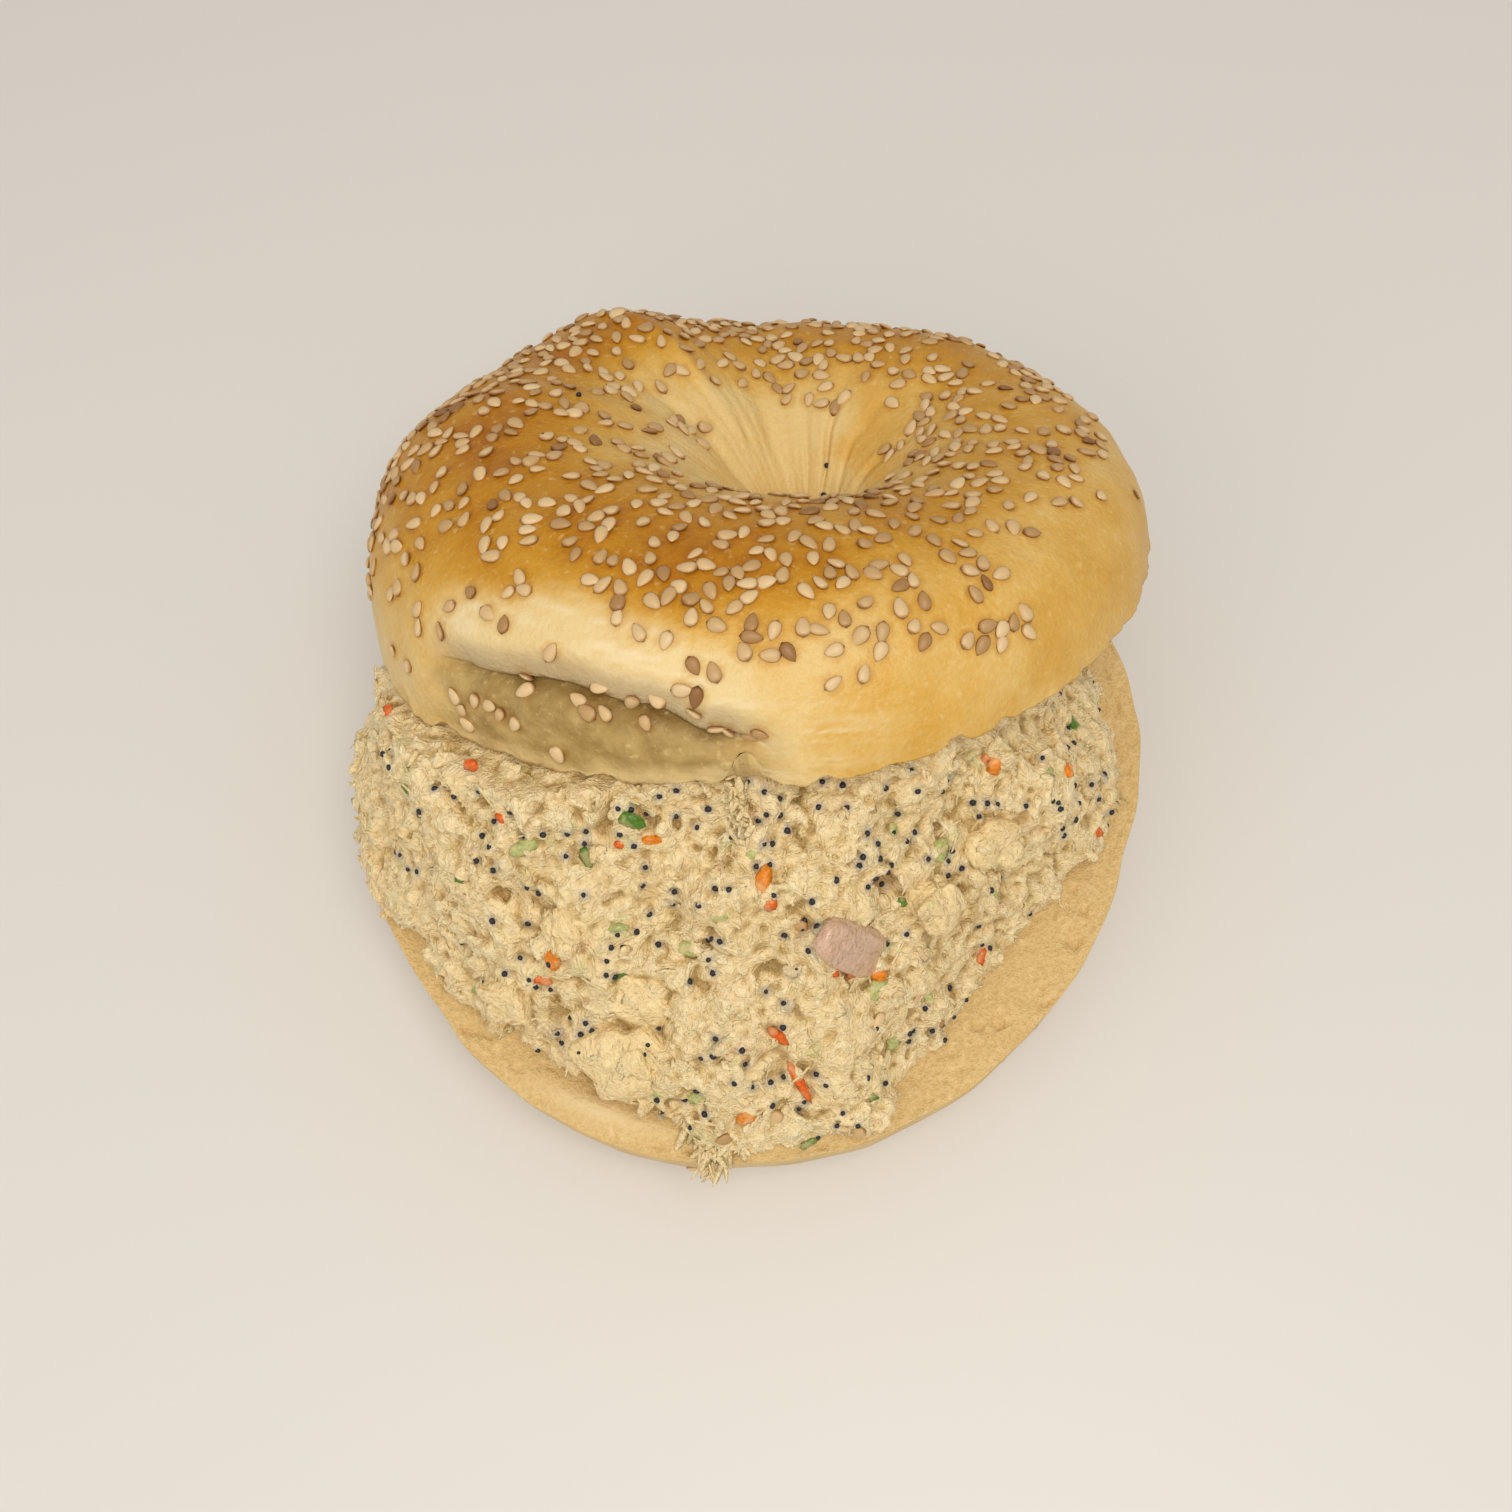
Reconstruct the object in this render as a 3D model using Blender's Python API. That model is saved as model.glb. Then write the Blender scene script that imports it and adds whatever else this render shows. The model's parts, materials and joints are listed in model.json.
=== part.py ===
"""An opened tuna salad sandwich on a sesame bagel, in metres, +Z up.

The lower half lies on its flat base with a tall heap of salad on its cut face. The top half leans back
against the heap: its back edge is low behind the lower half and its front edge is raised.
"""

import math
import random

import bmesh
import bpy
from mathutils import Matrix, Vector, noise

MM = 0.001
TURN = 2 * math.pi
GAP = 0.3 * MM

# Everything is shaped round the lower half's axis, then moved so that the whole is centred on the origin.
MIDDLE = Vector((0.83, 9.63, 0.0)) * MM

# Lower half: flat base at z = 0, and a cut face that the knife left lower at the back.
LOWER_REACH = (
    (-180, 62.1), (-165, 61.9), (-151, 60.8), (-143, 61.0), (-134, 62.2), (-122, 63.0), (-105, 63.5), (-80, 63.0),
    (-66, 61.9), (-50, 61.1), (-20, 61.1), (-8, 62.8), (3, 64.2), (14, 65.1), (28, 64.8), (60, 63.3), (100, 62.1),
    (140, 62.9), (180, 62.1),
)
LOWER_HOLE_RADIUS = 6.0 * MM
LOWER_HEIGHT = 18.0 * MM
LOWER_FALL = 0.055
LOWER_FULLNESS = 2.9
LOWER_UNEVEN, LOWER_HOLE_UNEVEN = 0.5 * MM, 0.8 * MM
LOWER_AROUND = 60
LOWER_ROWS = (0.0, 0.14, 0.28, 0.43, 0.6, 0.85, 1.15, 1.6, 2.1, 2.6, 2.9, math.pi)
BASE_DEPTH = 1.2 * MM

# Top half, in its own frame: its cut face lies in z = 0 and its crust rises above it.
TOP_REACH = (
    (-180, 59.8), (-150, 60.2), (-90, 59.8), (-45, 59.5), (0, 59.6), (45, 59.3), (90, 58.0), (130, 57.6),
    (155, 58.8), (180, 59.8),
)
TOP_WIDEST = 60.8 * MM
TOP_HOLE_RADIUS = 6.0 * MM
TOP_HOLE_CENTRE = Vector((7.0, 2.0, 0.0)) * MM
TOP_HEIGHT = 24.7 * MM
TOP_THICKER, TOP_THICKEST_AT = 0.26, math.radians(172.5)
TOP_SADDLE, TOP_SADDLE_AT = -0.035, math.radians(52.5)
TOP_SAG = (
    (-180, 0.0), (20, 0.0), (40, 0.5), (60, -0.6), (75, -2.1), (88, -3.5), (98, -2.8), (108, -1.5), (116, -0.3),
    (124, 1.0), (132, -0.7), (140, -1.6), (150, -2.5), (162, -2.3), (180, 0.0),
)
TOP_RIDGE = 0.55
TOP_OUTER_FULLNESS, TOP_INNER_FULLNESS = 2.3, 1.75
TOP_UNEVEN = 1.1 * MM
TOP_STEPS = (74, 20)
TOP_PLACE = Vector((4.1, 27.9, 36.0)) * MM
TOP_LEAN = math.radians(30.4)
TOP_ROLL = math.radians(-3.8)

# The fold where the dough closed on itself, round the front left: its height by compass angle in degrees.
FOLD_MARKS = (
    (-180, 8.0), (-150, 9.0), (-134, 12.0), (-118, 13.2), (-106, 11.3), (-97, 8.0), (-88, 5.5), (-60, 6.0),
)
FOLD_FROM, FOLD_FULL, FOLD_FADES, FOLD_TO = -144, -133, -97, -86
FOLD_DEPTH, FOLD_WIDTH = 3.0 * MM, 1.4 * MM
FOLD_ROUNDS = 1.9
FOLD_ROWS = (0.0, 0.35, 0.7, 0.88, 1.0, 1.13, 1.32)

# The dough below the fold stands back, between two heights from the fold in its widths.
LOBE_BACK, LOBE_LOW, LOBE_HIGH = 2.0 * MM, -1.0, 0.8

# Heap of salad: the reach of its foot by compass angle in degrees, in millimetres.
HEAP_REACH = (
    (-180, 61.5), (-165, 60.5), (-145, 57.2), (-130, 55.5), (-118, 56.5), (-109, 57.0), (-101, 60.0), (-96, 62.5),
    (-89, 61.5), (-77, 62.0), (-70, 57.0), (-62, 55.5), (-55, 52.5), (-46, 51.3), (-36, 50.4), (-28, 52.8),
    (-20, 57.4), (-10, 57.2), (0, 57.2), (9, 56.7), (40, 56.5), (90, 55.0), (140, 58.0), (180, 61.5),
)
HEAP_RISE = 47.0 * MM
HEAP_FRONT_SHAPE, HEAP_LEFT_SHAPE, HEAP_RIGHT_SHAPE = 1.5, 4.4, 2.6
HEAP_STEPS = (70, 14)
HEAP_INNERMOST = 0.25
HEAP_FOOT = 2.6 * MM
LUMP_SIZE, LUMP_HEIGHT = 11.0 * MM, 3.0 * MM
CRUMB_SIZE, CRUMB_HEIGHT = 5.5 * MM, 1.3 * MM

# Pieces in the salad: compass angle, share of the reach, then length, width and thickness in millimetres.
LARGE_FLAKES = (
    (-112, 0.81, 8.5, 7.0, 4.0), (-112, 0.92, 12.5, 10.5, 5.0), (-72, 0.71, 11.0, 7.0, 3.2), (-53, 0.77, 9.0, 7.0, 4.0),
    (-35, 0.81, 9.0, 7.0, 4.0), (-127, 0.76, 7.0, 5.0, 3.5), (-132, 0.92, 8.0, 6.0, 3.6),
)
FLAKE_STEP = 0.06
SMALL_PIECES = 46
PIECE_LENGTH = (3.2 * MM, 6.2 * MM)

SEED_SIZE = Vector((2.9, 1.85, 0.95)) * MM
SEED_LARGEST, SEED_SMALLEST = 1.12, 0.88
SEEDS_ON_TOP, SEEDS_ON_LOWER = 120, 16
SEED_APART = 2.4 * MM
SEED_SIDES = 4


def clear_scene():
    for obj in list(bpy.data.objects):
        bpy.data.objects.remove(obj)


def material(name, colour, roughness):
    made = bpy.data.materials.new(name)
    made.use_nodes = True
    surface = made.node_tree.nodes["Principled BSDF"]
    surface.inputs["Base Color"].default_value = (*colour, 1)
    surface.inputs["Roughness"].default_value = roughness
    return made


def object_from(name, bm, finish, collection=None):
    bmesh.ops.recalc_face_normals(bm, faces=bm.faces)
    mesh = bpy.data.meshes.new(name)
    bm.to_mesh(mesh)
    bm.free()
    mesh.materials.append(finish)
    obj = bpy.data.objects.new(name, mesh)
    (collection or bpy.context.scene.collection).objects.link(obj)
    return obj


def smooth_step(low, high, value):
    share = min(1.0, max(0.0, (value - low) / (high - low)))
    return share * share * (3 - 2 * share)


def compass(theta):
    return Vector((math.cos(theta), math.sin(theta), 0))


def degrees_of(theta):
    return math.degrees((theta + math.pi) % TURN - math.pi)


def between_marks(marks, degrees):
    """A value in millimetres at a compass angle, by a smooth step between the marked ones."""
    for (low, near), (high, far) in zip(marks, marks[1:]):
        if low <= degrees <= high:
            return (near + (far - near) * smooth_step(low, high, degrees)) * MM
    return marks[-1][1] * MM


def wave(theta, seed, size):
    """A smooth uneven wave round a ring, from about -size to size."""
    return size * noise.noise(compass(theta) * 1.7 + Vector((0, 0, seed)))


def top_pose():
    """The top half's frame in the sandwich's frame."""
    return (
        Matrix.Translation(TOP_PLACE - MIDDLE)
        @ Matrix.Rotation(-TOP_LEAN, 4, "X")
        @ Matrix.Rotation(TOP_ROLL, 4, "Y")
    )


def top_height(theta):
    thicker = TOP_THICKER * math.cos(theta - TOP_THICKEST_AT)
    saddle = TOP_SADDLE * math.cos(2 * (theta - TOP_SADDLE_AT))
    sag = between_marks(TOP_SAG, degrees_of(theta))
    return TOP_HEIGHT * (1 + thicker + saddle) + sag + wave(theta, 5.7, TOP_UNEVEN)


def fold_height(theta):
    return between_marks(FOLD_MARKS, degrees_of(theta))


def fold_strength(theta):
    """How deep the fold is at this angle, from 0 to 1."""
    degrees = degrees_of(theta)
    return smooth_step(FOLD_FROM, FOLD_FULL, degrees) * (1 - smooth_step(FOLD_FADES, FOLD_TO, degrees))


def top_crust(theta, phi):
    """A point of the top half's crust: phi runs from the outer cut edge, 0, to the hole's, pi."""
    around = compass(theta)
    outer = around * (between_marks(TOP_REACH, degrees_of(theta)) + wave(theta, 3.1, TOP_UNEVEN / 2))
    inner = TOP_HOLE_CENTRE + around * (TOP_HOLE_RADIUS + wave(theta, 8.4, TOP_UNEVEN))
    ridge = inner.lerp(outer, TOP_RIDGE)
    edge, fullness = (outer, TOP_OUTER_FULLNESS) if phi < math.pi / 2 else (inner, TOP_INNER_FULLNESS)
    point = ridge.lerp(edge, abs(math.cos(phi)) ** (2 / fullness))
    point.z = top_height(theta) * abs(math.sin(phi)) ** (2 / fullness)
    strength = fold_strength(theta)
    if strength > 0 and phi < math.pi / 2:
        above = (point.z - fold_height(theta)) / FOLD_WIDTH
        crease = math.exp(-((above / (FOLD_ROUNDS if above > 0 else 1)) ** 2))
        inward = FOLD_DEPTH * crease + LOBE_BACK * (1 - smooth_step(LOBE_LOW, LOBE_HIGH, above))
        point -= around * inward * strength
    return point


def top_rows(theta):
    """Where the rows of the top half's crust lie: the lowest ones follow the fold, the others are even."""
    height, fold = top_height(theta), fold_height(theta)
    rows = [math.asin((fold * share / height) ** (TOP_OUTER_FULLNESS / 2)) for share in FOLD_ROWS]
    rest = TOP_STEPS[1] - len(FOLD_ROWS) + 1
    return rows + [rows[-1] + (math.pi - rows[-1]) * j / rest for j in range(1, rest + 1)]


def lower_cut(point):
    """The height of the lower half's cut face at a place in plan."""
    return LOWER_HEIGHT - LOWER_FALL * point.y


def lower_crust(theta, phi):
    """A point of the lower half's crust: phi runs from the outer cut edge, 0, to the hole's, pi."""
    around = compass(theta)
    outer = around * (between_marks(LOWER_REACH, degrees_of(theta)) + wave(theta, 12.9, LOWER_UNEVEN))
    inner = around * (LOWER_HOLE_RADIUS + wave(theta, 17.3, LOWER_HOLE_UNEVEN))
    power = 2 / LOWER_FULLNESS
    point = outer.lerp(inner, (1 - math.copysign(abs(math.cos(phi)) ** power, math.cos(phi))) / 2)
    cut = lower_cut(point)
    point.z = max(0.0, cut - (cut + BASE_DEPTH) * abs(math.sin(phi)) ** power)
    return point


def ring_object(name, crust, rows, around, finish):
    """A closed ring: a crust between two cut edges, and the flat cut face between them."""
    bm = bmesh.new()
    rings = []
    for i in range(around):
        theta = TURN * i / around
        rings.append([bm.verts.new(crust(theta, phi)) for phi in rows(theta)])
    for here, there in zip(rings, rings[1:] + rings[:1]):
        for j in range(len(here) - 1):
            bm.faces.new((here[j], there[j], there[j + 1], here[j + 1]))
        bm.faces.new((here[-1], there[-1], there[0], here[0]))
    return object_from(name, bm, finish)


def under_top(point):
    """The height of the top half's cut face over a place in plan, higher outside its edge."""
    pose = top_pose()
    normal = pose.to_3x3() @ Vector((0, 0, 1))
    place = pose.translation + MIDDLE
    height = place.z - (normal.x * (point.x - place.x) + normal.y * (point.y - place.y)) / normal.z
    local = pose.inverted() @ (Vector((point.x, point.y, height)) - MIDDLE)
    beyond = local.to_2d().length - TOP_WIDEST - 4 * MM
    return height + max(0.0, beyond)


def relief(point):
    """Lumps and crumbs on the salad, as a height along its surface."""
    lump = noise.noise(point / LUMP_SIZE)
    crumb = noise.noise(point / CRUMB_SIZE + Vector((7, 3, 5)))
    return LUMP_HEIGHT * lump + CRUMB_HEIGHT * crumb


def heap_top(theta, share):
    """A point of the salad's open surface, from the middle, share 0, to the foot, share 1."""
    around = compass(theta)
    place = around * between_marks(HEAP_REACH, degrees_of(theta)) * share
    side = math.cos(theta) ** 2 if math.sin(theta) < 0 else 1.0
    side_shape = HEAP_RIGHT_SHAPE + (HEAP_LEFT_SHAPE - HEAP_RIGHT_SHAPE) * (1 - math.cos(theta)) / 2
    shape = HEAP_FRONT_SHAPE + (side_shape - HEAP_FRONT_SHAPE) * side
    point = Vector((place.x, place.y, lower_cut(place) + HEAP_FOOT + HEAP_RISE * (1 - share**shape)))
    point += (around * share + Vector((0, 0, 1 - 0.6 * share))).normalized() * relief(point)
    return Vector((point.x, point.y, max(lower_cut(point) + 2 * GAP, min(point.z, under_top(point) - GAP))))


def heap_object(name, finish):
    """The salad: an open mound that is pressed flat where the top half lies on it."""
    around, across = HEAP_STEPS
    bm = bmesh.new()
    rows = []
    for j in range(across):
        share = HEAP_INNERMOST + (1 - HEAP_INNERMOST) * j / (across - 1)
        rows.append([bm.verts.new(heap_top(TURN * i / around, share)) for i in range(around)])
    foot = []
    for edge in rows[-1]:
        place = edge.co.to_2d().to_3d() * 0.965
        foot.append(bm.verts.new(Vector((place.x, place.y, lower_cut(place) + GAP))))
    rows.append(foot)
    crown = bm.verts.new(heap_top(0, 0))
    base = bm.verts.new(Vector((0, 0, lower_cut(Vector()) + GAP)))
    for i in range(around):
        after = (i + 1) % around
        bm.faces.new((crown, rows[0][i], rows[0][after]))
        for inner, outer in zip(rows, rows[1:]):
            bm.faces.new((inner[i], outer[i], outer[after], inner[after]))
        bm.faces.new((foot[i], base, foot[after]))
    return object_from(name, bm, finish)


def lying_on(surface, u, v, turn, step=0.01):
    """A frame on a surface: its origin on it, its z along the normal there, its x turned by an angle."""
    point = surface(u, v)
    along = surface(u + step, v) - surface(u - step, v)
    across = surface(u, v + step) - surface(u, v - step)
    normal = along.cross(across).normalized()
    side = (Matrix.Rotation(turn, 3, normal) @ along.normalized()).normalized()
    frame = Matrix((side, normal.cross(side), normal)).transposed().to_4x4()
    frame.translation = point
    return frame


def spread(count, apart, draw, surface):
    """Places on a surface, one after another: each is the best apart of a few drawn at random."""
    chosen, points = [], []
    while len(chosen) < count:
        best, best_gap = None, apart
        for _ in range(4):
            place = draw()
            here = surface(*place[:2])
            gap = min(((here - other).length for other in points), default=1.0)
            if gap > best_gap:
                best, best_gap = (place, here), gap
        if best:
            chosen.append(best[0])
            points.append(best[1])
    return chosen


def top_seed_share(theta, phi):
    """How likely a seed is at a place on the top half: many round the ridge, few low on its front and right."""
    front = max(0.0, -math.sin(theta))
    right = max(0.0, math.cos(theta))
    low = 18 + 34 * front + 26 * right
    degrees = math.degrees(phi)
    outside = smooth_step(low - 12, low + 12, degrees)
    inside = 1 - smooth_step(112, 136, degrees + 10 * max(0.0, math.sin(theta)))
    return (0.02 + 0.98 * outside) * inside * (1 - 0.35 * right) * (0.45 + 0.55 * math.sin(phi))


def top_seed_places(count):
    chance = random.Random(11)

    def draw():
        while True:
            place = (chance.uniform(0, TURN), chance.uniform(0.05, 2.6), chance.uniform(0, TURN))
            if chance.random() < top_seed_share(*place[:2]):
                return place

    return spread(count, SEED_APART, draw, top_crust)


def lower_seed_places(count):
    chance = random.Random(5)

    def draw():
        return (chance.uniform(0, TURN), chance.uniform(0.22, 0.62), chance.uniform(0, TURN))

    return spread(count, SEED_APART, draw, lower_crust)


def seed_size(index, count):
    return SEED_SIZE * (SEED_LARGEST + (SEED_SMALLEST - SEED_LARGEST) * index / max(1, count - 1))


def seed_object(frame, size, finish, collection):
    """A sesame seed: flat, rounded at one end and pointed at the other."""
    bm = bmesh.new()
    tail, head = bm.verts.new((-size.x / 2, 0, 0)), bm.verts.new((size.x / 2, 0, 0))
    rings = []
    for along, wide in ((-0.17, 0.42), (0.2, 0.5)):
        ring = []
        for i in range(SEED_SIDES):
            around = compass(TURN * i / SEED_SIDES)
            ring.append(bm.verts.new((along * size.x, around.x * wide * size.y, around.y * wide * size.z)))
        rings.append(ring)
    for i in range(SEED_SIDES):
        after = (i + 1) % SEED_SIDES
        bm.faces.new((tail, rings[0][i], rings[0][after]))
        bm.faces.new((rings[0][i], rings[1][i], rings[1][after], rings[0][after]))
        bm.faces.new((rings[1][i], head, rings[1][after]))
    obj = object_from("seed", bm, finish, collection)
    obj.data.transform(frame)
    return obj


def flake_object(frame, size, seed, finish, collection):
    """A piece of the salad: an uneven lump with flat sides."""
    bm = bmesh.new()
    bmesh.ops.create_icosphere(bm, subdivisions=1, radius=0.5)
    for vert in bm.verts:
        vert.co *= 1 + 0.35 * noise.noise(vert.co * 2.3 + Vector((seed, 0, 0)))
        vert.co = Vector((vert.co.x * size.x, vert.co.y * size.y, vert.co.z * size.z))
    obj = object_from("flake", bm, finish, collection)
    obj.data.transform(frame @ Matrix.Translation((0, 0, -0.2 * size.z)))
    return obj


def clear_of_bread(point, reach):
    """Whether a piece at this place stays clear of both halves."""
    local = top_pose().inverted() @ (point - MIDDLE)
    under = local.z < -reach - GAP or local.to_2d().length > TOP_WIDEST + reach + GAP
    return under and point.z - reach > lower_cut(point) + GAP


def flake_places(count):
    """Places for the small pieces on the open part of the heap, with their lengths, the longest first."""
    chance = random.Random(24)
    longest, shortest = PIECE_LENGTH[1], PIECE_LENGTH[0]

    def draw():
        while True:
            place = (chance.uniform(-math.pi, TURN / 40), chance.uniform(0.35, 0.94), chance.uniform(0, TURN))
            if clear_of_bread(heap_top(*place[:2]), 0.6 * longest):
                return place

    places = spread(count, 1.1 * longest, draw, heap_top)
    return [(*place, longest + (shortest - longest) * i / (count - 1)) for i, place in enumerate(places)]


def fuse(target, pieces):
    """Joins every object of a collection to one object and drops the collection."""
    join = target.modifiers.new("fused", "BOOLEAN")
    join.operation, join.operand_type, join.solver = "UNION", "COLLECTION", "MANIFOLD"
    join.collection = pieces
    bpy.context.view_layer.update()
    mesh = bpy.data.meshes.new_from_object(target.evaluated_get(bpy.context.evaluated_depsgraph_get()))
    target.modifiers.remove(join)
    target.data = mesh
    for obj in list(pieces.objects):
        bpy.data.objects.remove(obj)
    bpy.data.collections.remove(pieces)


def collection_of(name):
    made = bpy.data.collections.new(name)
    bpy.context.scene.collection.children.link(made)
    return made


def main():
    clear_scene()
    crust = material("crust", (0.62, 0.36, 0.12), 0.45)
    salad = material("salad", (0.72, 0.6, 0.38), 0.6)

    lower = ring_object("bagel_lower", lower_crust, lambda theta: LOWER_ROWS, LOWER_AROUND, crust)
    seeds = collection_of("lower_seeds")
    for i, (theta, phi, turn) in enumerate(lower_seed_places(SEEDS_ON_LOWER)):
        size = seed_size(i, SEEDS_ON_LOWER)
        seed_object(lying_on(lambda u, v: lower_crust(u, -v), theta, -phi, turn), size, crust, seeds)
    fuse(lower, seeds)

    heap = heap_object("tuna_salad", salad)
    flakes = collection_of("flakes")
    for i, (angle, share, *size) in enumerate(LARGE_FLAKES):
        frame = lying_on(heap_top, math.radians(angle), share, 2.4 * i, FLAKE_STEP)
        flake_object(frame, Vector(size) * MM, i, salad, flakes)
    for i, (theta, share, turn, length) in enumerate(flake_places(SMALL_PIECES)):
        size = Vector((length, length * 0.7, length * 0.5))
        flake_object(lying_on(heap_top, theta, share, turn), size, 10 + i, salad, flakes)
    fuse(heap, flakes)

    top = ring_object("bagel_top", top_crust, top_rows, TOP_STEPS[0], crust)
    seeds = collection_of("top_seeds")
    for i, (theta, phi, turn) in enumerate(top_seed_places(SEEDS_ON_TOP)):
        seed_object(lying_on(top_crust, theta, phi, turn), seed_size(i, SEEDS_ON_TOP), crust, seeds)
    fuse(top, seeds)

    top.data.transform(top_pose())
    for obj in (lower, heap):
        obj.data.transform(Matrix.Translation(-MIDDLE))


main()
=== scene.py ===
"""The looks of an opened tuna salad sandwich on a sesame bagel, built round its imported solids."""

import json
import math
import random

import bmesh
import bpy
import numpy as np
from mathutils import Matrix, Vector, noise
from mathutils.bvhtree import BVHTree
from mathutils.kdtree import KDTree

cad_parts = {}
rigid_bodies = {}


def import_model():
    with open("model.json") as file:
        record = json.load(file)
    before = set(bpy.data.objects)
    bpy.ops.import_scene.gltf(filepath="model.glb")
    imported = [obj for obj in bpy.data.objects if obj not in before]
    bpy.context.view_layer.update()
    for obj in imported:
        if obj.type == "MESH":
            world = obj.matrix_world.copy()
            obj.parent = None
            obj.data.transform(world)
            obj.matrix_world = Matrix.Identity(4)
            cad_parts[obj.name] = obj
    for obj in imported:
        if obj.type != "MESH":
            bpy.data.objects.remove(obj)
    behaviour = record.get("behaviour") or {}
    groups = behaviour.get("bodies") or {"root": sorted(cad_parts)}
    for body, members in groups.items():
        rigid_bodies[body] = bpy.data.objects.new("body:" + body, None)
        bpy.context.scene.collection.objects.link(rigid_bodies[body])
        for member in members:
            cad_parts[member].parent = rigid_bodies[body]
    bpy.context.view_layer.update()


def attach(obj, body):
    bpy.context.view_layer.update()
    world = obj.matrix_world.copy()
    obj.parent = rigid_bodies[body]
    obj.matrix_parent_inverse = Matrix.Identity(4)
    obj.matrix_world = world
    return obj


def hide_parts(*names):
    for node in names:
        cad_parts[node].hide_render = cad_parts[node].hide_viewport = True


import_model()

MM = 0.001
TURN = 2 * math.pi
GAP = 0.3 * MM

# Everything is shaped round the lower half's axis, then moved so that the whole is centred on the origin.
MIDDLE = Vector((0.83, 9.63, 0.0)) * MM

# Lower half.
LOWER_REACH = (
    (-180, 62.1), (-165, 61.9), (-151, 60.8), (-143, 61.0), (-134, 62.2), (-122, 63.0), (-105, 63.5),
    (-80, 63.0), (-66, 61.9), (-50, 61.1), (-20, 61.1), (-8, 62.8), (3, 64.2), (14, 65.1), (28, 64.8),
    (60, 63.3), (100, 62.1), (140, 62.9), (180, 62.1),
)
LOWER_HOLE_RADIUS = 6.0 * MM
LOWER_HEIGHT = 18.0 * MM
LOWER_FALL = 0.055
LOWER_FULLNESS = 2.9
LOWER_UNEVEN, LOWER_HOLE_UNEVEN = 0.5 * MM, 0.8 * MM
BASE_DEPTH = 1.2 * MM
LOWER_GRID = (520, 50, 120)

# A smooth raised lip along the front left of the lower half's cut edge: compass angle and spread in degrees.
LIP_AT, LIP_SPREAD, LIP_HEIGHT = -114, 13, 1.3 * MM
LIP_REACH, LIP_WIDTH = 59.5 * MM, 2.2 * MM

# Top half, in its own frame: its cut face lies in z = 0 and its crust rises above it.
TOP_REACH = (
    (-180, 59.8), (-150, 60.2), (-90, 59.8), (-45, 59.5), (0, 59.6), (45, 59.3), (90, 58.0), (130, 57.6),
    (155, 58.8), (180, 59.8),
)
TOP_WIDEST = 60.8 * MM
TOP_HOLE_RADIUS = 6.0 * MM
TOP_HOLE_CENTRE = Vector((7.0, 2.0, 0.0)) * MM
TOP_HEIGHT = 24.7 * MM
TOP_THICKER, TOP_THICKEST_AT = 0.26, math.radians(172.5)
TOP_SADDLE, TOP_SADDLE_AT = -0.035, math.radians(52.5)
TOP_SAG = (
    (-180, 0.0), (20, 0.0), (40, 0.5), (60, -0.6), (75, -2.1), (88, -3.5), (98, -2.8), (108, -1.5),
    (116, -0.3), (124, 1.0), (132, -0.7), (140, -1.6), (150, -2.5), (162, -2.3), (180, 0.0),
)
TOP_RIDGE = 0.55
TOP_OUTER_FULLNESS, TOP_INNER_FULLNESS = 2.3, 1.75
TOP_UNEVEN = 1.1 * MM
TOP_PLACE = Vector((4.1, 27.9, 36.0)) * MM
TOP_LEAN = math.radians(30.4)
TOP_ROLL = math.radians(-3.8)
TOP_GRID, TOP_CROWDING = (520, 150, 36), 0.6

# The fold where the dough closed on itself, round the front left: its height by compass angle in degrees.
FOLD_MARKS = (
    (-180, 8.0), (-150, 9.0), (-134, 12.0), (-118, 13.2), (-106, 11.3), (-97, 8.0), (-88, 5.5), (-60, 6.0),
)
FOLD_FROM, FOLD_FULL, FOLD_FADES, FOLD_TO = -144, -133, -97, -86
FOLD_DEPTH, FOLD_WIDTH = 3.0 * MM, 1.4 * MM
FOLD_ROUNDS = 1.9

# The dough below the fold stands back, between two heights from the fold in its widths.
LOBE_BACK, LOBE_LOW, LOBE_HIGH = 2.0 * MM, -1.0, 0.8
LIP_DROOP = 2.2 * MM

# Creases in the funnel of the top half's hole: compass angle and width in degrees, and depth.
FUNNEL_CREASES = (
    (58, 2.5, 1.1 * MM), (76, 4, 0.5 * MM), (98, 5, 0.6 * MM), (122, 4, 0.4 * MM), (38, 3, 0.5 * MM),
    (12, 4, 0.7 * MM), (-8, 3, 0.5 * MM), (150, 5, 0.5 * MM),
)

# Tears in the top half's cut edge: compass angle and width in degrees, and how far they reach up.
TEARS = (
    (-93.5, 2.4, 5.2 * MM), (-67, 1.6, 1.8 * MM), (-139.5, 2.2, 1.6 * MM), (-100, 1.2, 0.9 * MM),
    (-84, 1.4, 1.0 * MM), (-76, 1.2, 0.8 * MM), (-113, 1.1, 0.6 * MM), (-60, 1.3, 1.0 * MM),
)

# Where the top baked darkest: compass angle and place across the crust, in degrees.
AMBER_SPOTS = ((-100, 78), (-165, 82), (137, 92), (45, 80))

# Heap of salad: the reach of its foot by compass angle in degrees, in millimetres.
HEAP_REACH = (
    (-180, 61.5), (-165, 60.5), (-145, 57.2), (-130, 55.5), (-118, 56.5), (-109, 57.0), (-101, 60.0),
    (-96, 62.5), (-89, 61.5), (-77, 62.0), (-70, 57.0), (-62, 55.5), (-55, 52.5), (-46, 51.3), (-36, 50.4),
    (-28, 52.8), (-20, 57.4), (-10, 57.2), (0, 57.2), (9, 56.7), (40, 56.5), (90, 55.0), (140, 58.0),
    (180, 61.5),
)
HEAP_RISE = 47.0 * MM
HEAP_FRONT_SHAPE, HEAP_LEFT_SHAPE, HEAP_RIGHT_SHAPE = 1.5, 4.4, 2.6
HEAP_INNERMOST = 0.2
HEAP_FOOT = 2.6 * MM
LUMP_SIZE, LUMP_HEIGHT = 11.0 * MM, 3.0 * MM
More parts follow.
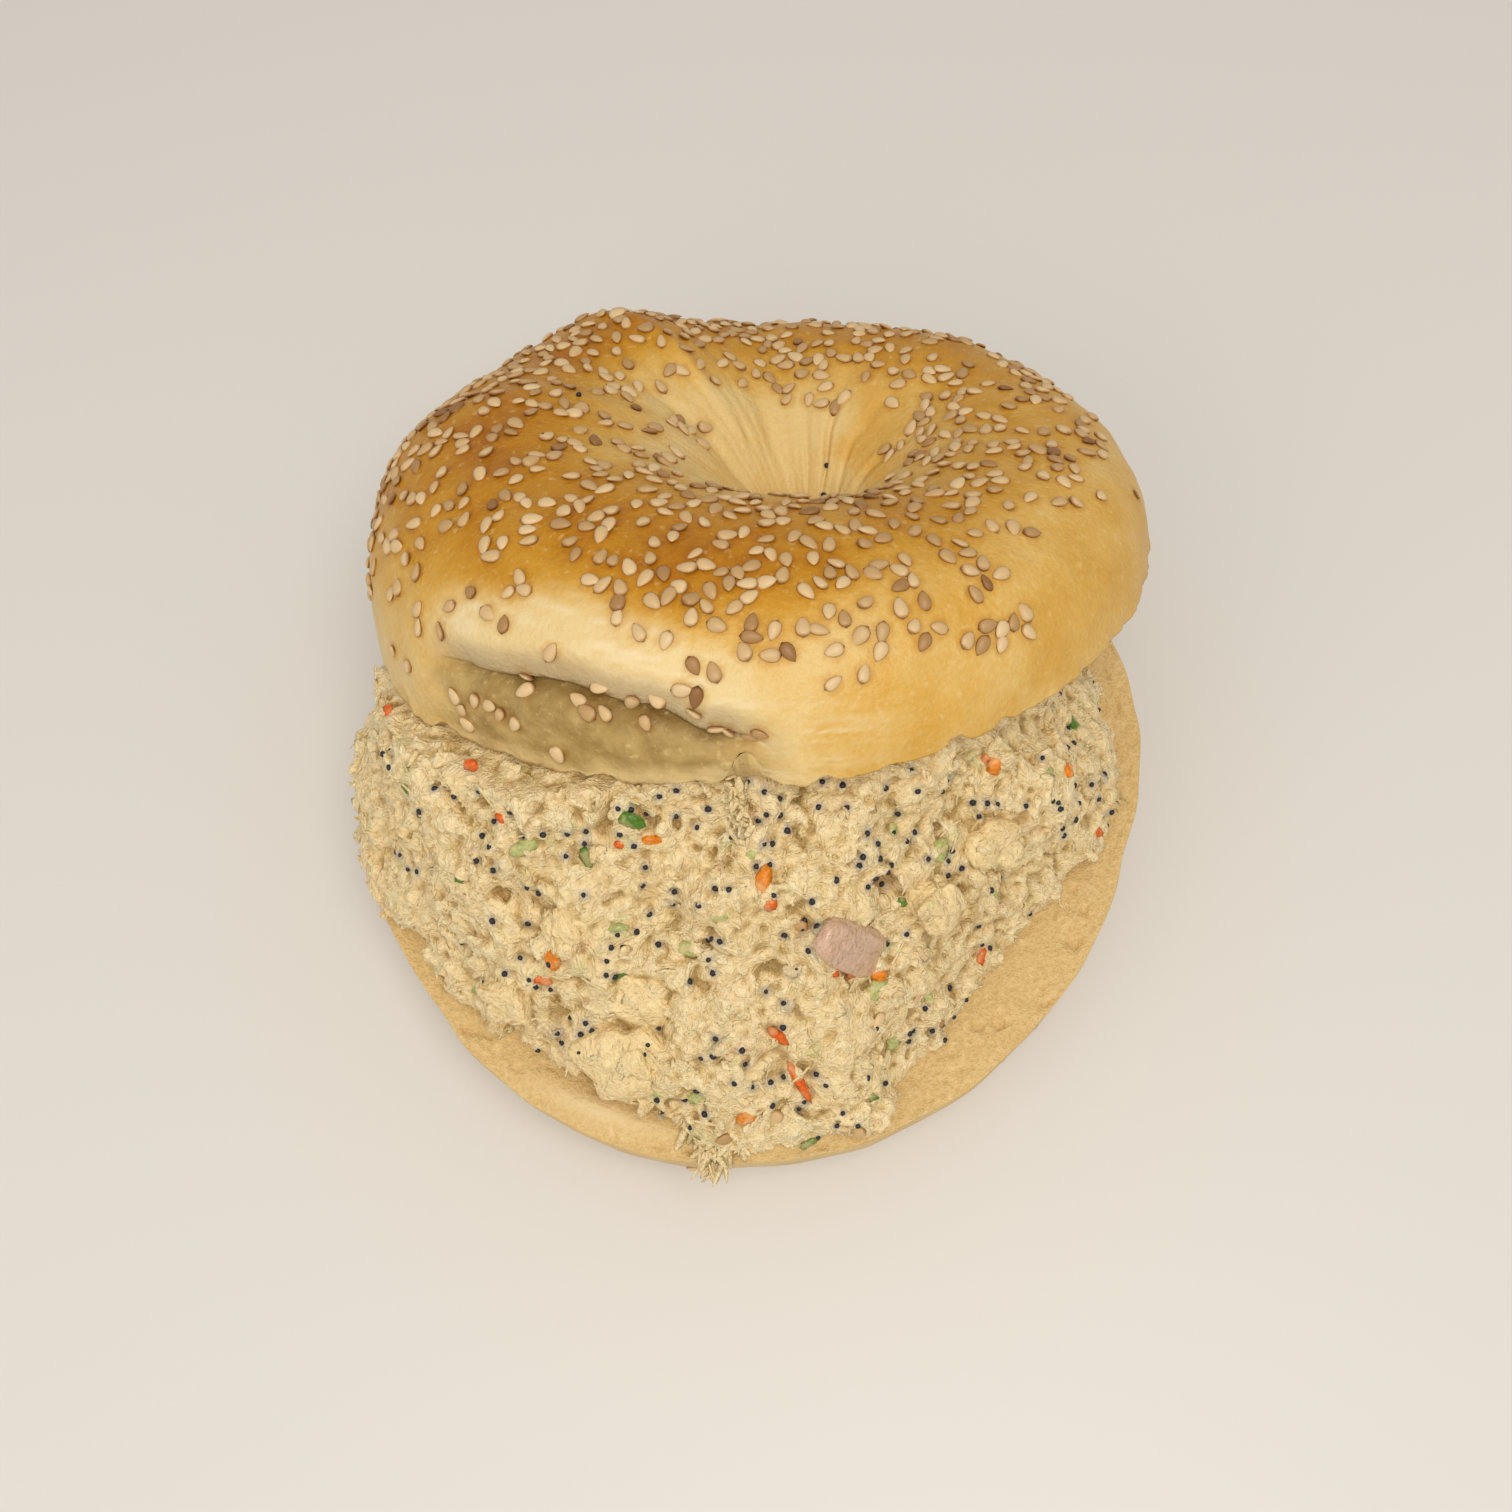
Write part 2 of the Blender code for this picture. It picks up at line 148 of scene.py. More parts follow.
CRUMB_SIZE, CRUMB_HEIGHT = 5.5 * MM, 1.3 * MM
HEAP_GRID, HEAP_CROWDING = (480, 130, 10), 0.4
FLAKE_STEP = 0.06

# The dressing joins the heap's flakes to one mass: the finest step of its surface, its rounds of smoothing,
# how evenly its flat places are thinned out, and the share of its faces that is kept.
DRESSING, DRESSED, THINNED = 0.36 * MM, 1, 0.05 * MM
KEPT = 0.35

# Pieces of fish in the salad: compass angle, share of the reach, then length, width and thickness in
# millimetres. The pink one also has its turn in degrees.
LARGE_FLAKES = (
    (-112, 0.81, 8.5, 7.0, 4.0), (-112, 0.92, 12.5, 10.5, 5.0), (-53, 0.77, 9.0, 7.0, 4.0),
    (-35, 0.81, 9.0, 7.0, 4.0), (-127, 0.76, 7.0, 5.0, 3.5), (-132, 0.92, 8.0, 6.0, 3.6),
)
PINK_PIECE = (-72, 0.7, -75, 17.0, 7.2, 4.0)

# Points round and along a piece of fish, how blocky it is, and how far it stands out in its thicknesses. The
# dressing joins a slightly smaller core of each large flake to the heap.
FISH_GRID, FISH_BLOCKY = (44, 26), 0.62
FLAKE_LIFT, PINK_LIFT, FLAKE_CORE = 0.22, 0.3, 0.93

# Hollows in the salad: compass angle, share of the reach, then width and depth in millimetres.
HOLLOWS = (
    (-124, 0.9, 2.2, 3.0), (-47, 0.81, 2.0, 3.2), (-118, 1.0, 2.0, 2.6), (-75, 0.45, 1.5, 2.4),
    (-61, 0.66, 1.5, 2.0), (-43, 0.7, 1.7, 2.2), (-100, 0.62, 1.3, 1.8), (-140, 0.8, 1.6, 2.0),
    (-88, 0.68, 1.3, 1.8), (-30, 0.9, 1.6, 2.2),
)

# Bits in the salad: compass angle, share of the reach and turn in degrees, then length, width and thickness
# in millimetres.
BITS = {
    "orange": (
        (-87, 0.5, 70, 4.4, 2.2, 1.5), (-17, 0.81, 10, 2.4, 2.0, 1.4), (-24, 0.69, 50, 3.2, 2.4, 1.6),
        (-68, 0.79, 95, 3.4, 2.2, 1.6), (-116, 0.51, 20, 3.6, 1.6, 1.2), (-127, 0.81, 110, 4.2, 2.8, 1.4),
        (-93, 0.92, 0, 3.0, 2.4, 1.4),
    ),
    "red": (
        (-87.5, 0.79, -55, 4.4, 1.5, 1.1), (-85, 0.88, -72, 8.0, 1.4, 1.1), (-180, 0.83, 0, 2.8, 2.2, 1.4),
        (-158, 0.66, 40, 2.6, 2.0, 1.2), (-123, 0.56, 0, 1.8, 1.4, 1.0), (-18, 0.98, 80, 2.2, 1.8, 1.2),
        (-48, 0.96, 40, 3.4, 1.6, 1.0), (-73, 0.75, 20, 2.0, 1.6, 1.2), (-147, 0.68, 0, 1.9, 1.4, 1.0),
        (-86, 0.54, 30, 2.2, 1.8, 1.2), (-128, 0.86, 10, 3.0, 2.0, 1.2), (-24, 0.67, 10, 1.8, 1.4, 1.0),
        (-76, 0.7, 60, 1.6, 1.2, 0.9),
    ),
    "green": (
        (-122, 0.49, 20, 4.2, 2.6, 1.3), (-129, 0.63, -40, 3.8, 2.4, 1.3), (-164, 0.8, 0, 2.0, 1.6, 1.0),
        (-3, 0.89, 60, 3.4, 2.0, 1.2), (-85, 1.0, 15, 3.0, 1.4, 1.0), (-75, 0.96, 80, 2.2, 1.6, 1.0),
        (-115, 0.77, 55, 4.6, 0.9, 0.9), (-58, 0.72, 70, 1.8, 1.2, 0.8), (-147, 0.82, 30, 2.0, 1.2, 0.8),
    ),
    "celery": (
        (-104, 0.67, 20, 3.6, 2.6, 1.2), (-97, 0.56, 0, 3.2, 2.6, 1.2), (-140, 0.68, 60, 4.6, 2.2, 1.2),
        (-138, 0.97, 20, 4.0, 2.4, 1.2), (-106, 0.94, 10, 3.4, 2.8, 1.4), (-100, 0.91, 40, 3.4, 2.4, 1.4),
        (-69, 0.81, 0, 4.2, 3.0, 1.3), (-89, 0.46, 20, 3.6, 2.4, 1.2), (-69, 0.93, 50, 3.6, 2.4, 1.2),
        (-118, 0.7, 30, 3.4, 2.0, 1.2), (-40, 0.88, 40, 4.6, 3.2, 1.2), (-45, 0.72, 0, 4.0, 3.0, 1.2),
        (-60, 0.9, 70, 3.8, 2.6, 1.2), (-20, 0.78, 10, 3.4, 2.4, 1.2), (-52, 0.62, 45, 3.6, 2.4, 1.2),
    ),
}

# How far the bits sink into the salad, in their thicknesses.
BIT_SINK, CELERY_SINK = 0.05, 0.32

# Sesame seeds that fell into the salad: compass angle, share of the reach and turn in degrees.
SEEDS_IN_SALAD = (
    (-71, 0.85, 10), (-89, 0.94, 60), (-81, 0.6, -20), (-78, 0.99, 30), (-96, 0.97, 0), (-60, 0.98, 80),
)

# Fish strewn over the salad: its form, how far apart in millimetres, how many on a square metre, their tip in
# radians, how far they sink in their thicknesses, the rule's seed, and their smallest and largest size in
# millimetres. The first two are joined to the heap by the dressing, and the others lie on it.
SCATTERS = {
    "flakes": ("flake", 1.8, 1.5e5, 0.5, 0.1, 4, (2.2, 1.4, 0.7), (5.0, 3.4, 1.5)),
    "crumbs": ("crumb", 1.1, 3e5, 1.5, 0.1, 2, (1.0, 0.8, 0.7), (2.2, 1.8, 1.4)),
    "fish_flakes": ("flake", 3.4, 5e4, 0.35, 0.25, 14, (1.6, 1.0, 0.4), (3.4, 2.2, 0.9)),
    "fish_shreds": ("shred", 1.4, 1.6e5, 0.25, 0.2, 9, (1.8, 0.35, 0.35), (5.0, 0.7, 0.6)),
    "fish_crumbs": ("crumb", 1.0, 2.6e5, 1.5, 0.2, 2, (0.4, 0.35, 0.3), (1.1, 0.9, 0.7)),
}

# The ragged tip of salad that hangs over the front edge: compass angle, its spread, and its number of pieces.
TIP_AT, TIP_SPREAD, TIP_PIECES = -98, 1.7, 60

# The tuft of salad below the notch in the top half's edge: compass angle and share of the reach.
TUFT_AT, TUFT_PIECES = (-92.5, 0.345), 60

POPPY_SIZE = Vector((0.98, 0.86, 0.82)) * MM
POPPIES, POPPY_GROUPS = 255, 80
POPPIES_ALONE = 0.42
POPPY_APART, POPPY_CLEAR, POPPY_OFF_FISH = 1.02 * MM, 2 * MM, 4.5 * MM

# Poppy seeds that fell on the top half: compass angle and place across the crust, in degrees.
POPPIES_ON_TOP = ((55, 150), (-74, 118), (52, 162), (178, 108), (-160, 96))

SEED_SIZE = Vector((2.9, 1.85, 0.95)) * MM
SEED_LARGEST, SEED_SMALLEST = 1.12, 0.88
SEEDS_IN_SOLID, SEEDS_ON_TOP = 120, 880
LOWER_IN_SOLID, SEEDS_ON_LOWER = 16, 80
SEED_APART, SEED_TOUCHING, SEEDS_BESIDE = 2.4 * MM, 1.8 * MM, 0.55
TOP_SEED_ROWS = (0.05, 2.6)

# Points round and along the small forms.
SEED_GRID, FORM_GRID, SHRED_GRID, ROUND_GRID, POPPY_GRID = (9, 7), (7, 7), (5, 8), (6, 6), (7, 6)

# Patches of seeds that the photo shows in the fold, low on the front and in the funnel of the hole, where the
# rule leaves few: from and to a compass angle, from and to a place across the crust, and their number.
SEED_PATCHES = (
    (-138, -117, 4, 15, 8), (-125, -113, 18, 26, 4), (-113, -99, 17, 25, 6), (-98, -91, 12, 20, 4),
    (-149, -143, 28, 43, 3), (-138, -126, 39, 53, 6), (-115, -94, 45, 66, 12), (-95, -80, 40, 67, 11),
    (-101, -89, 26, 40, 4), (-83, -66, 28, 46, 9), (-80, -67, 50, 69, 10), (-64, -53, 25, 37, 8),
    (-60, -53, 46, 58, 5), (52, 90, 115, 129, 10), (100, 122, 111, 132, 6), (144, 169, 125, 146, 7),
    (-8, 24, 105, 122, 9), (7, 20, 126, 139, 3), (-26, -16, 99, 123, 5),
)

# The tones of the finishes, each from its place on a ramp.
TOP_TONES = (
    (0.0, (0.76, 0.56, 0.24)), (0.3, (0.69, 0.42, 0.1)), (0.6, (0.59, 0.3, 0.028)),
    (0.85, (0.5, 0.215, 0.008)), (1.0, (0.42, 0.155, 0.005)),
)
LOWER_TONES = ((0.0, (0.7, 0.5, 0.22)), (0.5, (0.58, 0.34, 0.11)), (1.0, (0.42, 0.19, 0.04)))
SALAD_TONES = ((0.0, (0.74, 0.52, 0.24)), (0.45, (0.87, 0.67, 0.35)), (1.0, (0.94, 0.8, 0.5)))
# Painted shade for the salad's hollows and pits.
HOLLOW_PAINTED_SHADE = ((0.0, (1, 1, 1)), (0.6, (0.83, 0.76, 0.62)), (1.0, (0.55, 0.46, 0.31)))
FISH_TONES = ((0.0, (0.8, 0.58, 0.27)), (0.5, (0.9, 0.7, 0.37)), (1.0, (0.93, 0.78, 0.47)))
PINK_TONES = ((0.0, (0.56, 0.34, 0.22)), (0.5, (0.68, 0.45, 0.31)), (1.0, (0.8, 0.6, 0.43)))
SEED_TONES = (
    (0.0, (0.72, 0.53, 0.29)), (0.4, (0.62, 0.42, 0.2)), (0.8, (0.5, 0.31, 0.13)),
    (0.95, (0.38, 0.2, 0.07)), (1.0, (0.25, 0.11, 0.03)),
)
# Sesame: its darker tip, and painted shade down its sides below a lighter top.
SEED_TIP_AND_PAINTED_SHADE = ((0.0, (0.34, 0.2, 0.1)), (0.45, (0.74, 0.62, 0.5)), (0.75, (1, 1, 1)))

# The camera's place and directions, as worked out from the photograph.
CAMERA_PLACE = Vector((1.62, -94.37, 243.97)) * MM
CAMERA_RIGHT = Vector((0.998, -0.0589, -0.025))
CAMERA_DOWN = Vector((-0.064, -0.9187, -0.3898))
PHOTO_WIDTH, FOCAL_LENGTH = 1512, 1516
FILM_WIDTH = 36.0
FLOOR_REACH, FLOOR_LEVEL = 3.0, -0.02 * MM

# Lights: name, place and width in metres, power in watts and colour. All of them point at one place.
LIGHTS = (
    ("key", (0.1, -0.28, 0.8), 0.5, 3.8, (1.0, 0.94, 0.85)),
    ("fill", (-0.45, -0.45, 0.5), 0.6, 1.0, (1.0, 0.95, 0.88)),
)
LIT = Vector((0, 0, 0.03))


# Shapes that the solids share.


def smooth_step(low, high, value):
    share = np.clip((np.asarray(value, float) - low) / (high - low), 0, 1)
    return share * share * (3 - 2 * share)


def compass(theta):
    return np.stack([np.cos(theta), np.sin(theta), np.zeros_like(theta)], -1)


def spots_on(surface, places):
    """The points of a surface at a list of places, each an angle, a place across and perhaps more."""
    return surface(np.array([place[0] for place in places]), np.array([place[1] for place in places]))


def degrees_of(theta):
    return np.degrees((np.asarray(theta, float) + math.pi) % TURN - math.pi)


def between_marks(marks, degrees):
    """Values in metres at compass angles, by a smooth step between the marked ones."""
    angles, values = np.array([mark[0] for mark in marks]), np.array([mark[1] for mark in marks])
    degrees = np.clip(degrees, angles[0], angles[-1])
    step = np.clip(np.searchsorted(angles, degrees) - 1, 0, len(marks) - 2)
    share = (degrees - angles[step]) / (angles[step + 1] - angles[step])
    share = share * share * (3 - 2 * share)
    return (values[step] + (values[step + 1] - values[step]) * share) * MM


def noise_at(points, size, shift=(0, 0, 0)):
    """Smooth noise at an array of points, about -1 to 1, with features of a size in metres."""
    flat = (np.asarray(points).reshape(-1, 3) / size + np.asarray(shift)).tolist()
    return np.array([noise.noise(place) for place in flat]).reshape(points.shape[:-1])


def wave(theta, seed, size):
    """A smooth uneven wave round a ring, from about -size to size."""
    return size * noise_at(compass(theta), 1 / 1.7, (0, 0, seed))


def top_pose():
    """The top half's frame in the sandwich's frame."""
    return (
        Matrix.Translation(TOP_PLACE - MIDDLE)
        @ Matrix.Rotation(-TOP_LEAN, 4, "X")
        @ Matrix.Rotation(TOP_ROLL, 4, "Y")
    )


def top_height(theta):
    thicker = TOP_THICKER * np.cos(theta - TOP_THICKEST_AT)
    saddle = TOP_SADDLE * np.cos(2 * (theta - TOP_SADDLE_AT))
    sag = between_marks(TOP_SAG, degrees_of(theta))
    return TOP_HEIGHT * (1 + thicker + saddle) + sag + wave(theta, 5.7, TOP_UNEVEN)


def fold_strength(theta, phi):
    """How deep the fold is at places on the top half's crust, from 0 to 1."""
    degrees = degrees_of(theta)
    strength = smooth_step(FOLD_FROM, FOLD_FULL, degrees) * (1 - smooth_step(FOLD_FADES, FOLD_TO, degrees))
    return strength * (phi < math.pi / 2)


def above_fold(point, theta):
    """How high points of the top half's crust are above the fold, in its widths."""
    return (point[..., 2] - between_marks(FOLD_MARKS, degrees_of(theta))) / FOLD_WIDTH


def top_crust(theta, phi):
    """Points of the top half's crust: phi runs from the outer cut edge, 0, to the hole's, pi."""
    around = compass(theta)
    reach = between_marks(TOP_REACH, degrees_of(theta)) + wave(theta, 3.1, TOP_UNEVEN / 2)
    outer = around * reach[..., None]
    inner = np.array(TOP_HOLE_CENTRE) + around * (TOP_HOLE_RADIUS + wave(theta, 8.4, TOP_UNEVEN))[..., None]
    ridge = inner + (outer - inner) * TOP_RIDGE
    outside = phi < math.pi / 2
    power = 2 / np.where(outside, TOP_OUTER_FULLNESS, TOP_INNER_FULLNESS)
    out = (np.abs(np.cos(phi)) ** power)[..., None]
    point = ridge + (np.where(outside[..., None], outer, inner) - ridge) * out
    point[..., 2] = top_height(theta) * np.abs(np.sin(phi)) ** power
    above = above_fold(point, theta)
    crease = np.exp(-((above / np.where(above > 0, FOLD_ROUNDS, 1)) ** 2))
    inward = FOLD_DEPTH * crease + LOBE_BACK * (1 - smooth_step(LOBE_LOW, LOBE_HIGH, above))
    return point - around * (inward * fold_strength(theta, phi))[..., None]


def lower_cut(point):
    """The height of the lower half's cut face at places in plan."""
    return LOWER_HEIGHT - LOWER_FALL * point[..., 1]


def lower_crust(theta, phi):
    """Points of the lower half's crust: phi runs from the outer cut edge, 0, to the hole's, pi."""
    around = compass(theta)
    reach = between_marks(LOWER_REACH, degrees_of(theta)) + wave(theta, 12.9, LOWER_UNEVEN)
    outer = around * reach[..., None]
    inner = around * (LOWER_HOLE_RADIUS + wave(theta, 17.3, LOWER_HOLE_UNEVEN))[..., None]
    power = 2 / LOWER_FULLNESS
    share = (1 - np.sign(np.cos(phi)) * np.abs(np.cos(phi)) ** power) / 2
    point = outer + (inner - outer) * share[..., None]
    cut = lower_cut(point)
    point[..., 2] = np.maximum(0.0, cut - (cut + BASE_DEPTH) * np.abs(np.sin(phi)) ** power)
    return point


def lower_side(theta, phi):
    """The lower half's crust with phi counted the other way, so that its normals point out."""
    return lower_crust(theta, -phi)


def beneath_top(point):
    """The height of the top half's cut face over places in plan, and those points in its own frame."""
    pose = top_pose()
    normal = pose.to_3x3() @ Vector((0, 0, 1))
    place = pose.translation + MIDDLE
    slope = normal.x * (point[..., 0] - place.x) + normal.y * (point[..., 1] - place.y)
    height = place.z - slope / normal.z
    there = np.stack([point[..., 0], point[..., 1], height], -1) - np.array(MIDDLE)
    return height, moved(there, pose.inverted())


def under_top(point):
    """The height of the top half's cut face over places in plan, higher outside its edge."""
    height, local = beneath_top(point)
    return height + np.maximum(0.0, np.hypot(local[..., 0], local[..., 1]) - TOP_WIDEST - 4 * MM)


def past_top_edge(point):
    """How far places in plan lie outside the edge of the top half's cut face."""
    local = beneath_top(point)[1]
    edge = top_crust(np.arctan2(local[..., 1], local[..., 0]), np.zeros(point.shape[:-1]))
    return np.hypot(local[..., 0], local[..., 1]) - np.hypot(edge[..., 0], edge[..., 1])


def heap_top(theta, share):
    """Points of the salad's open surface, from the middle, share 0, to the foot, share 1."""
    around = compass(theta)
    place = around * (between_marks(HEAP_REACH, degrees_of(theta)) * share)[..., None]
    side = np.where(np.sin(theta) < 0, np.cos(theta) ** 2, 1.0)
    side_shape = HEAP_RIGHT_SHAPE + (HEAP_LEFT_SHAPE - HEAP_RIGHT_SHAPE) * (1 - np.cos(theta)) / 2
    shape = HEAP_FRONT_SHAPE + (side_shape - HEAP_FRONT_SHAPE) * side
    point = place.copy()
    point[..., 2] = lower_cut(place) + HEAP_FOOT + HEAP_RISE * (1 - share**shape)
    outward = around * share[..., None]
    outward[..., 2] = 1 - 0.6 * share
    outward /= np.linalg.norm(outward, axis=-1, keepdims=True)
    relief = LUMP_HEIGHT * noise_at(point, LUMP_SIZE) + CRUMB_HEIGHT * noise_at(point, CRUMB_SIZE, (7, 3, 5))
    return point + outward * relief[..., None]


def heap_side(theta, share):
    """The salad's open surface with its angle counted the other way, so that its normals point out."""
    return heap_top(-theta, share)


def between_breads(point):
    """Points moved to stay over the lower half's cut face and under the top half's, looser past its edge."""
    loose = smooth_step(-3 * MM, 1 * MM, past_top_edge(point)) * (1 + noise_at(point, 3 * MM)) * MM
    highest = under_top(point) - GAP - loose
    point[..., 2] = np.maximum(lower_cut(point) + 2 * GAP, np.minimum(point[..., 2], highest))
    return point


# Meshes.


def in_scene(name, data):
    obj = bpy.data.objects.new(name, data)
    bpy.context.scene.collection.objects.link(obj)
    return obj


def add_attributes(mesh, attributes, kind="FLOAT", field="value"):
    for label, values in attributes.items():
        layer = mesh.attributes.new(label, kind, "POINT")
        layer.data.foreach_set(field, np.asarray(values, np.float32).reshape(-1))


def values_of(items, name, width=1):
    """One property of all of a mesh's items, a row for each."""
    values = np.empty(width * len(items), np.float32)
    items.foreach_get(name, values)
    return values.reshape(-1, width) if width > 1 else values


def mesh_object(name, points, faces, attributes=None, material=None):
    mesh = bpy.data.meshes.new(name)
    mesh.from_pydata(np.asarray(points).reshape(-1, 3).tolist(), [], faces)
    add_attributes(mesh, attributes or {})
    mesh.shade_smooth()
    if material:
        mesh.materials.append(material)
    return in_scene(name, mesh)


def ring_faces(around, across):
    """Faces of a grid that closes both ways: first index round the ring, second across it."""
    i, j = np.meshgrid(np.arange(around), np.arange(across), indexing="ij")
    here, there = i * across, (i + 1) % around * across
    after = (j + 1) % across
    return np.stack((here + j, there + j, there + after, here + after), -1).reshape(-1, 4).tolist()


def normals_of(points):
    """Unit normals of a grid of points that closes both ways."""
    along = np.roll(points, -1, 0) - np.roll(points, 1, 0)
    across = np.roll(points, -1, 1) - np.roll(points, 1, 1)
    normal = np.cross(along, across)
    return normal / np.maximum(np.linalg.norm(normal, axis=-1, keepdims=True), 1e-12)


def moved(points, pose):
    """An array of points through a 4x4 matrix."""
    matrix = np.array(pose)
    return points @ matrix[:3, :3].T + matrix[:3, 3]


def bent(points, size, reach, shift=0.0):
    """Points pushed about by smooth noise, so that a pattern laid over them has no straight edges."""
    push = [noise_at(points, size, (shift + 11.3 * axis, 0, 0)) for axis in range(3)]
    return points + reach * np.stack(push, -1)


def clumps(points, size, shift=(0, 0, 0)):
    """Scattered cells: how far each point is from its cell's edge, in sizes, and the cell's centre."""
    flat = (points.reshape(-1, 3) / size + np.asarray(shift)).tolist()
    near = [noise.voronoi(place) for place in flat]
    edge = np.array([distances[1] - distances[0] for distances, _ in near])
    centre = np.array([centres[0][:] for _, centres in near])
    return edge.reshape(points.shape[:-1]), centre.reshape(points.shape)


def fixed_share(centre, seed):
    """A value from 0 to 1 that is the same all over a cell."""
    return np.abs(np.sin(centre @ np.array([12.9, 78.2, 37.7]) + seed) * 437.585) % 1


def strands(points, centre, length, width):
    """Ridges like flaked fibres, which run one way in each cell."""
    turn, lean = TURN * fixed_share(centre, 1.0), 2 * fixed_share(centre, 2.0) - 1
    flat = np.sqrt(1 - lean**2)
    way = np.stack([np.cos(turn) * flat, np.sin(turn) * flat, lean], -1)
    along = (points * way).sum(-1, keepdims=True)
    return noise_at(points / width + way * along * (1 / length - 1 / width), 1.0)


def tree_of(places):
    tree = KDTree(len(places))
    for i, place in enumerate(places):
        tree.insert(place, i)
    tree.balance()
    return tree


def distance_to(points, places):
    """How far each point of an array is from the nearest of some places."""
    tree = tree_of(places)
    away = [tree.find(point)[2] for point in points.reshape(-1, 3).tolist()]
    return np.array(away).reshape(points.shape[:-1])


def surface_of(obj):
    corners = [vertex.co for vertex in obj.data.vertices]
    return BVHTree.FromPolygons(corners, [face.vertices for face in obj.data.polygons])


def settled(placed, surface, lift=0.0, search=6 * MM):
    """A frame moved along its z axis onto a finished surface, then lifted off it."""
    up = placed.col[2].to_3d()
    hit = surface.ray_cast(placed.translation + up * search, -up, 2 * search)[0]
    if hit:
        placed = placed.copy()
        placed.translation = hit
    return placed @ Matrix.Translation((0, 0, lift))


def lying_on(surface, theta, phi, turn, step=0.01):
    """A frame on a surface: its origin on it, its z along the outward normal, its x turned by an angle."""
    steps = ((0, 0), (step, 0), (-step, 0), (0, step), (0, -step))
    places = [(theta + aside, phi + ahead) for aside, ahead in steps]
    point, east, west, over, under = (Vector(spot) for spot in spots_on(surface, places))
    along = east - west
    normal = along.cross(over - under).normalized()
    side = (Matrix.Rotation(turn, 3, normal) @ along.normalized()).normalized()
    placed = Matrix((side, normal.cross(side), normal)).transposed().to_4x4()
    placed.translation = point
    return placed


# Node trees.


def fill(tree, socket, value):
    """Gives an input the socket that feeds it, or its value."""
    if isinstance(value, bpy.types.NodeSocket):
        tree.links.new(value, socket)
    else:
        socket.default_value = value


def add_node(tree, kind, inputs=None, **settings):
    """A node with its settings, and its inputs as values or as the sockets that feed them."""
    node = tree.nodes.new(kind)
    for name, value in settings.items():
        setattr(node, name, value)
    for name, value in (inputs or {}).items():
        fill(tree, node.inputs[name], value)
    return node


def new_group(name, kind, inputs, outputs):
    """An empty node group with named sockets: {name: (type, default)} and {name: type}."""
    tree = bpy.data.node_groups.new(name, kind)
    for label, (socket, value) in inputs.items():
        made = tree.interface.new_socket(label, in_out="INPUT", socket_type="NodeSocket" + socket)
        if value is not None:
            made.default_value = value
    for label, socket in outputs.items():
        tree.interface.new_socket(label, in_out="OUTPUT", socket_type="NodeSocket" + socket)
    return tree, tree.nodes.new("NodeGroupInput").outputs, tree.nodes.new("NodeGroupOutput").inputs


def colour_ramp(tree, value, stops):
    ramp = add_node(tree, "ShaderNodeValToRGB", {"Fac": value})
    elements = ramp.color_ramp.elements
    for element, (place, colour) in zip((elements[0], elements[1]), (stops[0], stops[-1])):
        element.position, element.color = place, (*colour, 1)
    for place, colour in stops[1:-1]:
        elements.new(place).color = (*colour, 1)
    return ramp.outputs["Color"]


def mix_colour(tree, share, first, second, how="MIX"):
    node = add_node(tree, "ShaderNodeMix", data_type="RGBA", blend_type=how)
    for place, value in ((0, share), (6, first), (7, second)):
        fill(tree, node.inputs[place], (*value, 1) if isinstance(value, tuple) and len(value) == 3 else value)
    return node.outputs[2]


def maths(tree, how, *values, clamp=False):
    node = add_node(tree, "ShaderNodeMath", dict(enumerate(values)), operation=how, use_clamp=clamp)
    return node.outputs[0]


def vectors(tree, how, *values):
    node = add_node(tree, "ShaderNodeVectorMath", dict(enumerate(values)), operation=how)
    return node.outputs["Value" if how == "DOT_PRODUCT" else "Vector"]


def scaled(tree, vector, scale):
    return add_node(tree, "ShaderNodeVectorMath", {0: vector, "Scale": scale}, operation="SCALE").outputs[0]


def between(tree, value, low, high):
    """A mask that rises from 0 to 1 between two values."""
    inputs = {"Value": value, "From Min": low, "From Max": high}
    return add_node(tree, "ShaderNodeMapRange", inputs).outputs[0]


def soft_noise(tree, place, size, detail=2.0):
    scale = maths(tree, "DIVIDE", 1.0, size) if isinstance(size, bpy.types.NodeSocket) else 1 / size
    return add_node(tree, "ShaderNodeTexNoise", {"Vector": place, "Scale": scale, "Detail": detail})


def object_place(tree):
    return add_node(tree, "ShaderNodeTexCoord").outputs["Object"]


def attribute(tree, name):
    return add_node(tree, "ShaderNodeAttribute", attribute_name=name).outputs["Fac"]


def masked(tree, name, most):
    """A mask from an attribute of the mesh, up to a share."""
    return maths(tree, "MULTIPLY", attribute(tree, name), most)


def group_in(tree, group, **values):
    """A group placed in a material, with its own values."""
    inputs = {name.replace("_", " "): value for name, value in values.items()}
    return add_node(tree, "ShaderNodeGroup", inputs, node_tree=group)


def shaded_by(tree, colour, name, stops):
    """A colour times the tones that an attribute of the mesh picks from some stops."""
    return mix_colour(tree, 1.0, colour, colour_ramp(tree, attribute(tree, name), stops), "MULTIPLY")


def new_material(name, **uniform):
    """A material with its tree, its one surface shader and the uniform values of that shader."""
    made = bpy.data.materials.new(name)
    made.use_nodes = True
    surface = made.node_tree.nodes["Principled BSDF"]
    for socket, value in uniform.items():
        surface.inputs[socket.replace("_", " ")].default_value = value
    return made, made.node_tree, surface


def feed(tree, surface, **sockets):
    for name, value in sockets.items():
        tree.links.new(value, surface.inputs[name.replace("_", " ")])


def bump(tree, height, distance, strength=1.0):
    inputs = {"Height": height, "Distance": distance, "Strength": strength}
    return add_node(tree, "ShaderNodeBump", inputs).outputs[0]


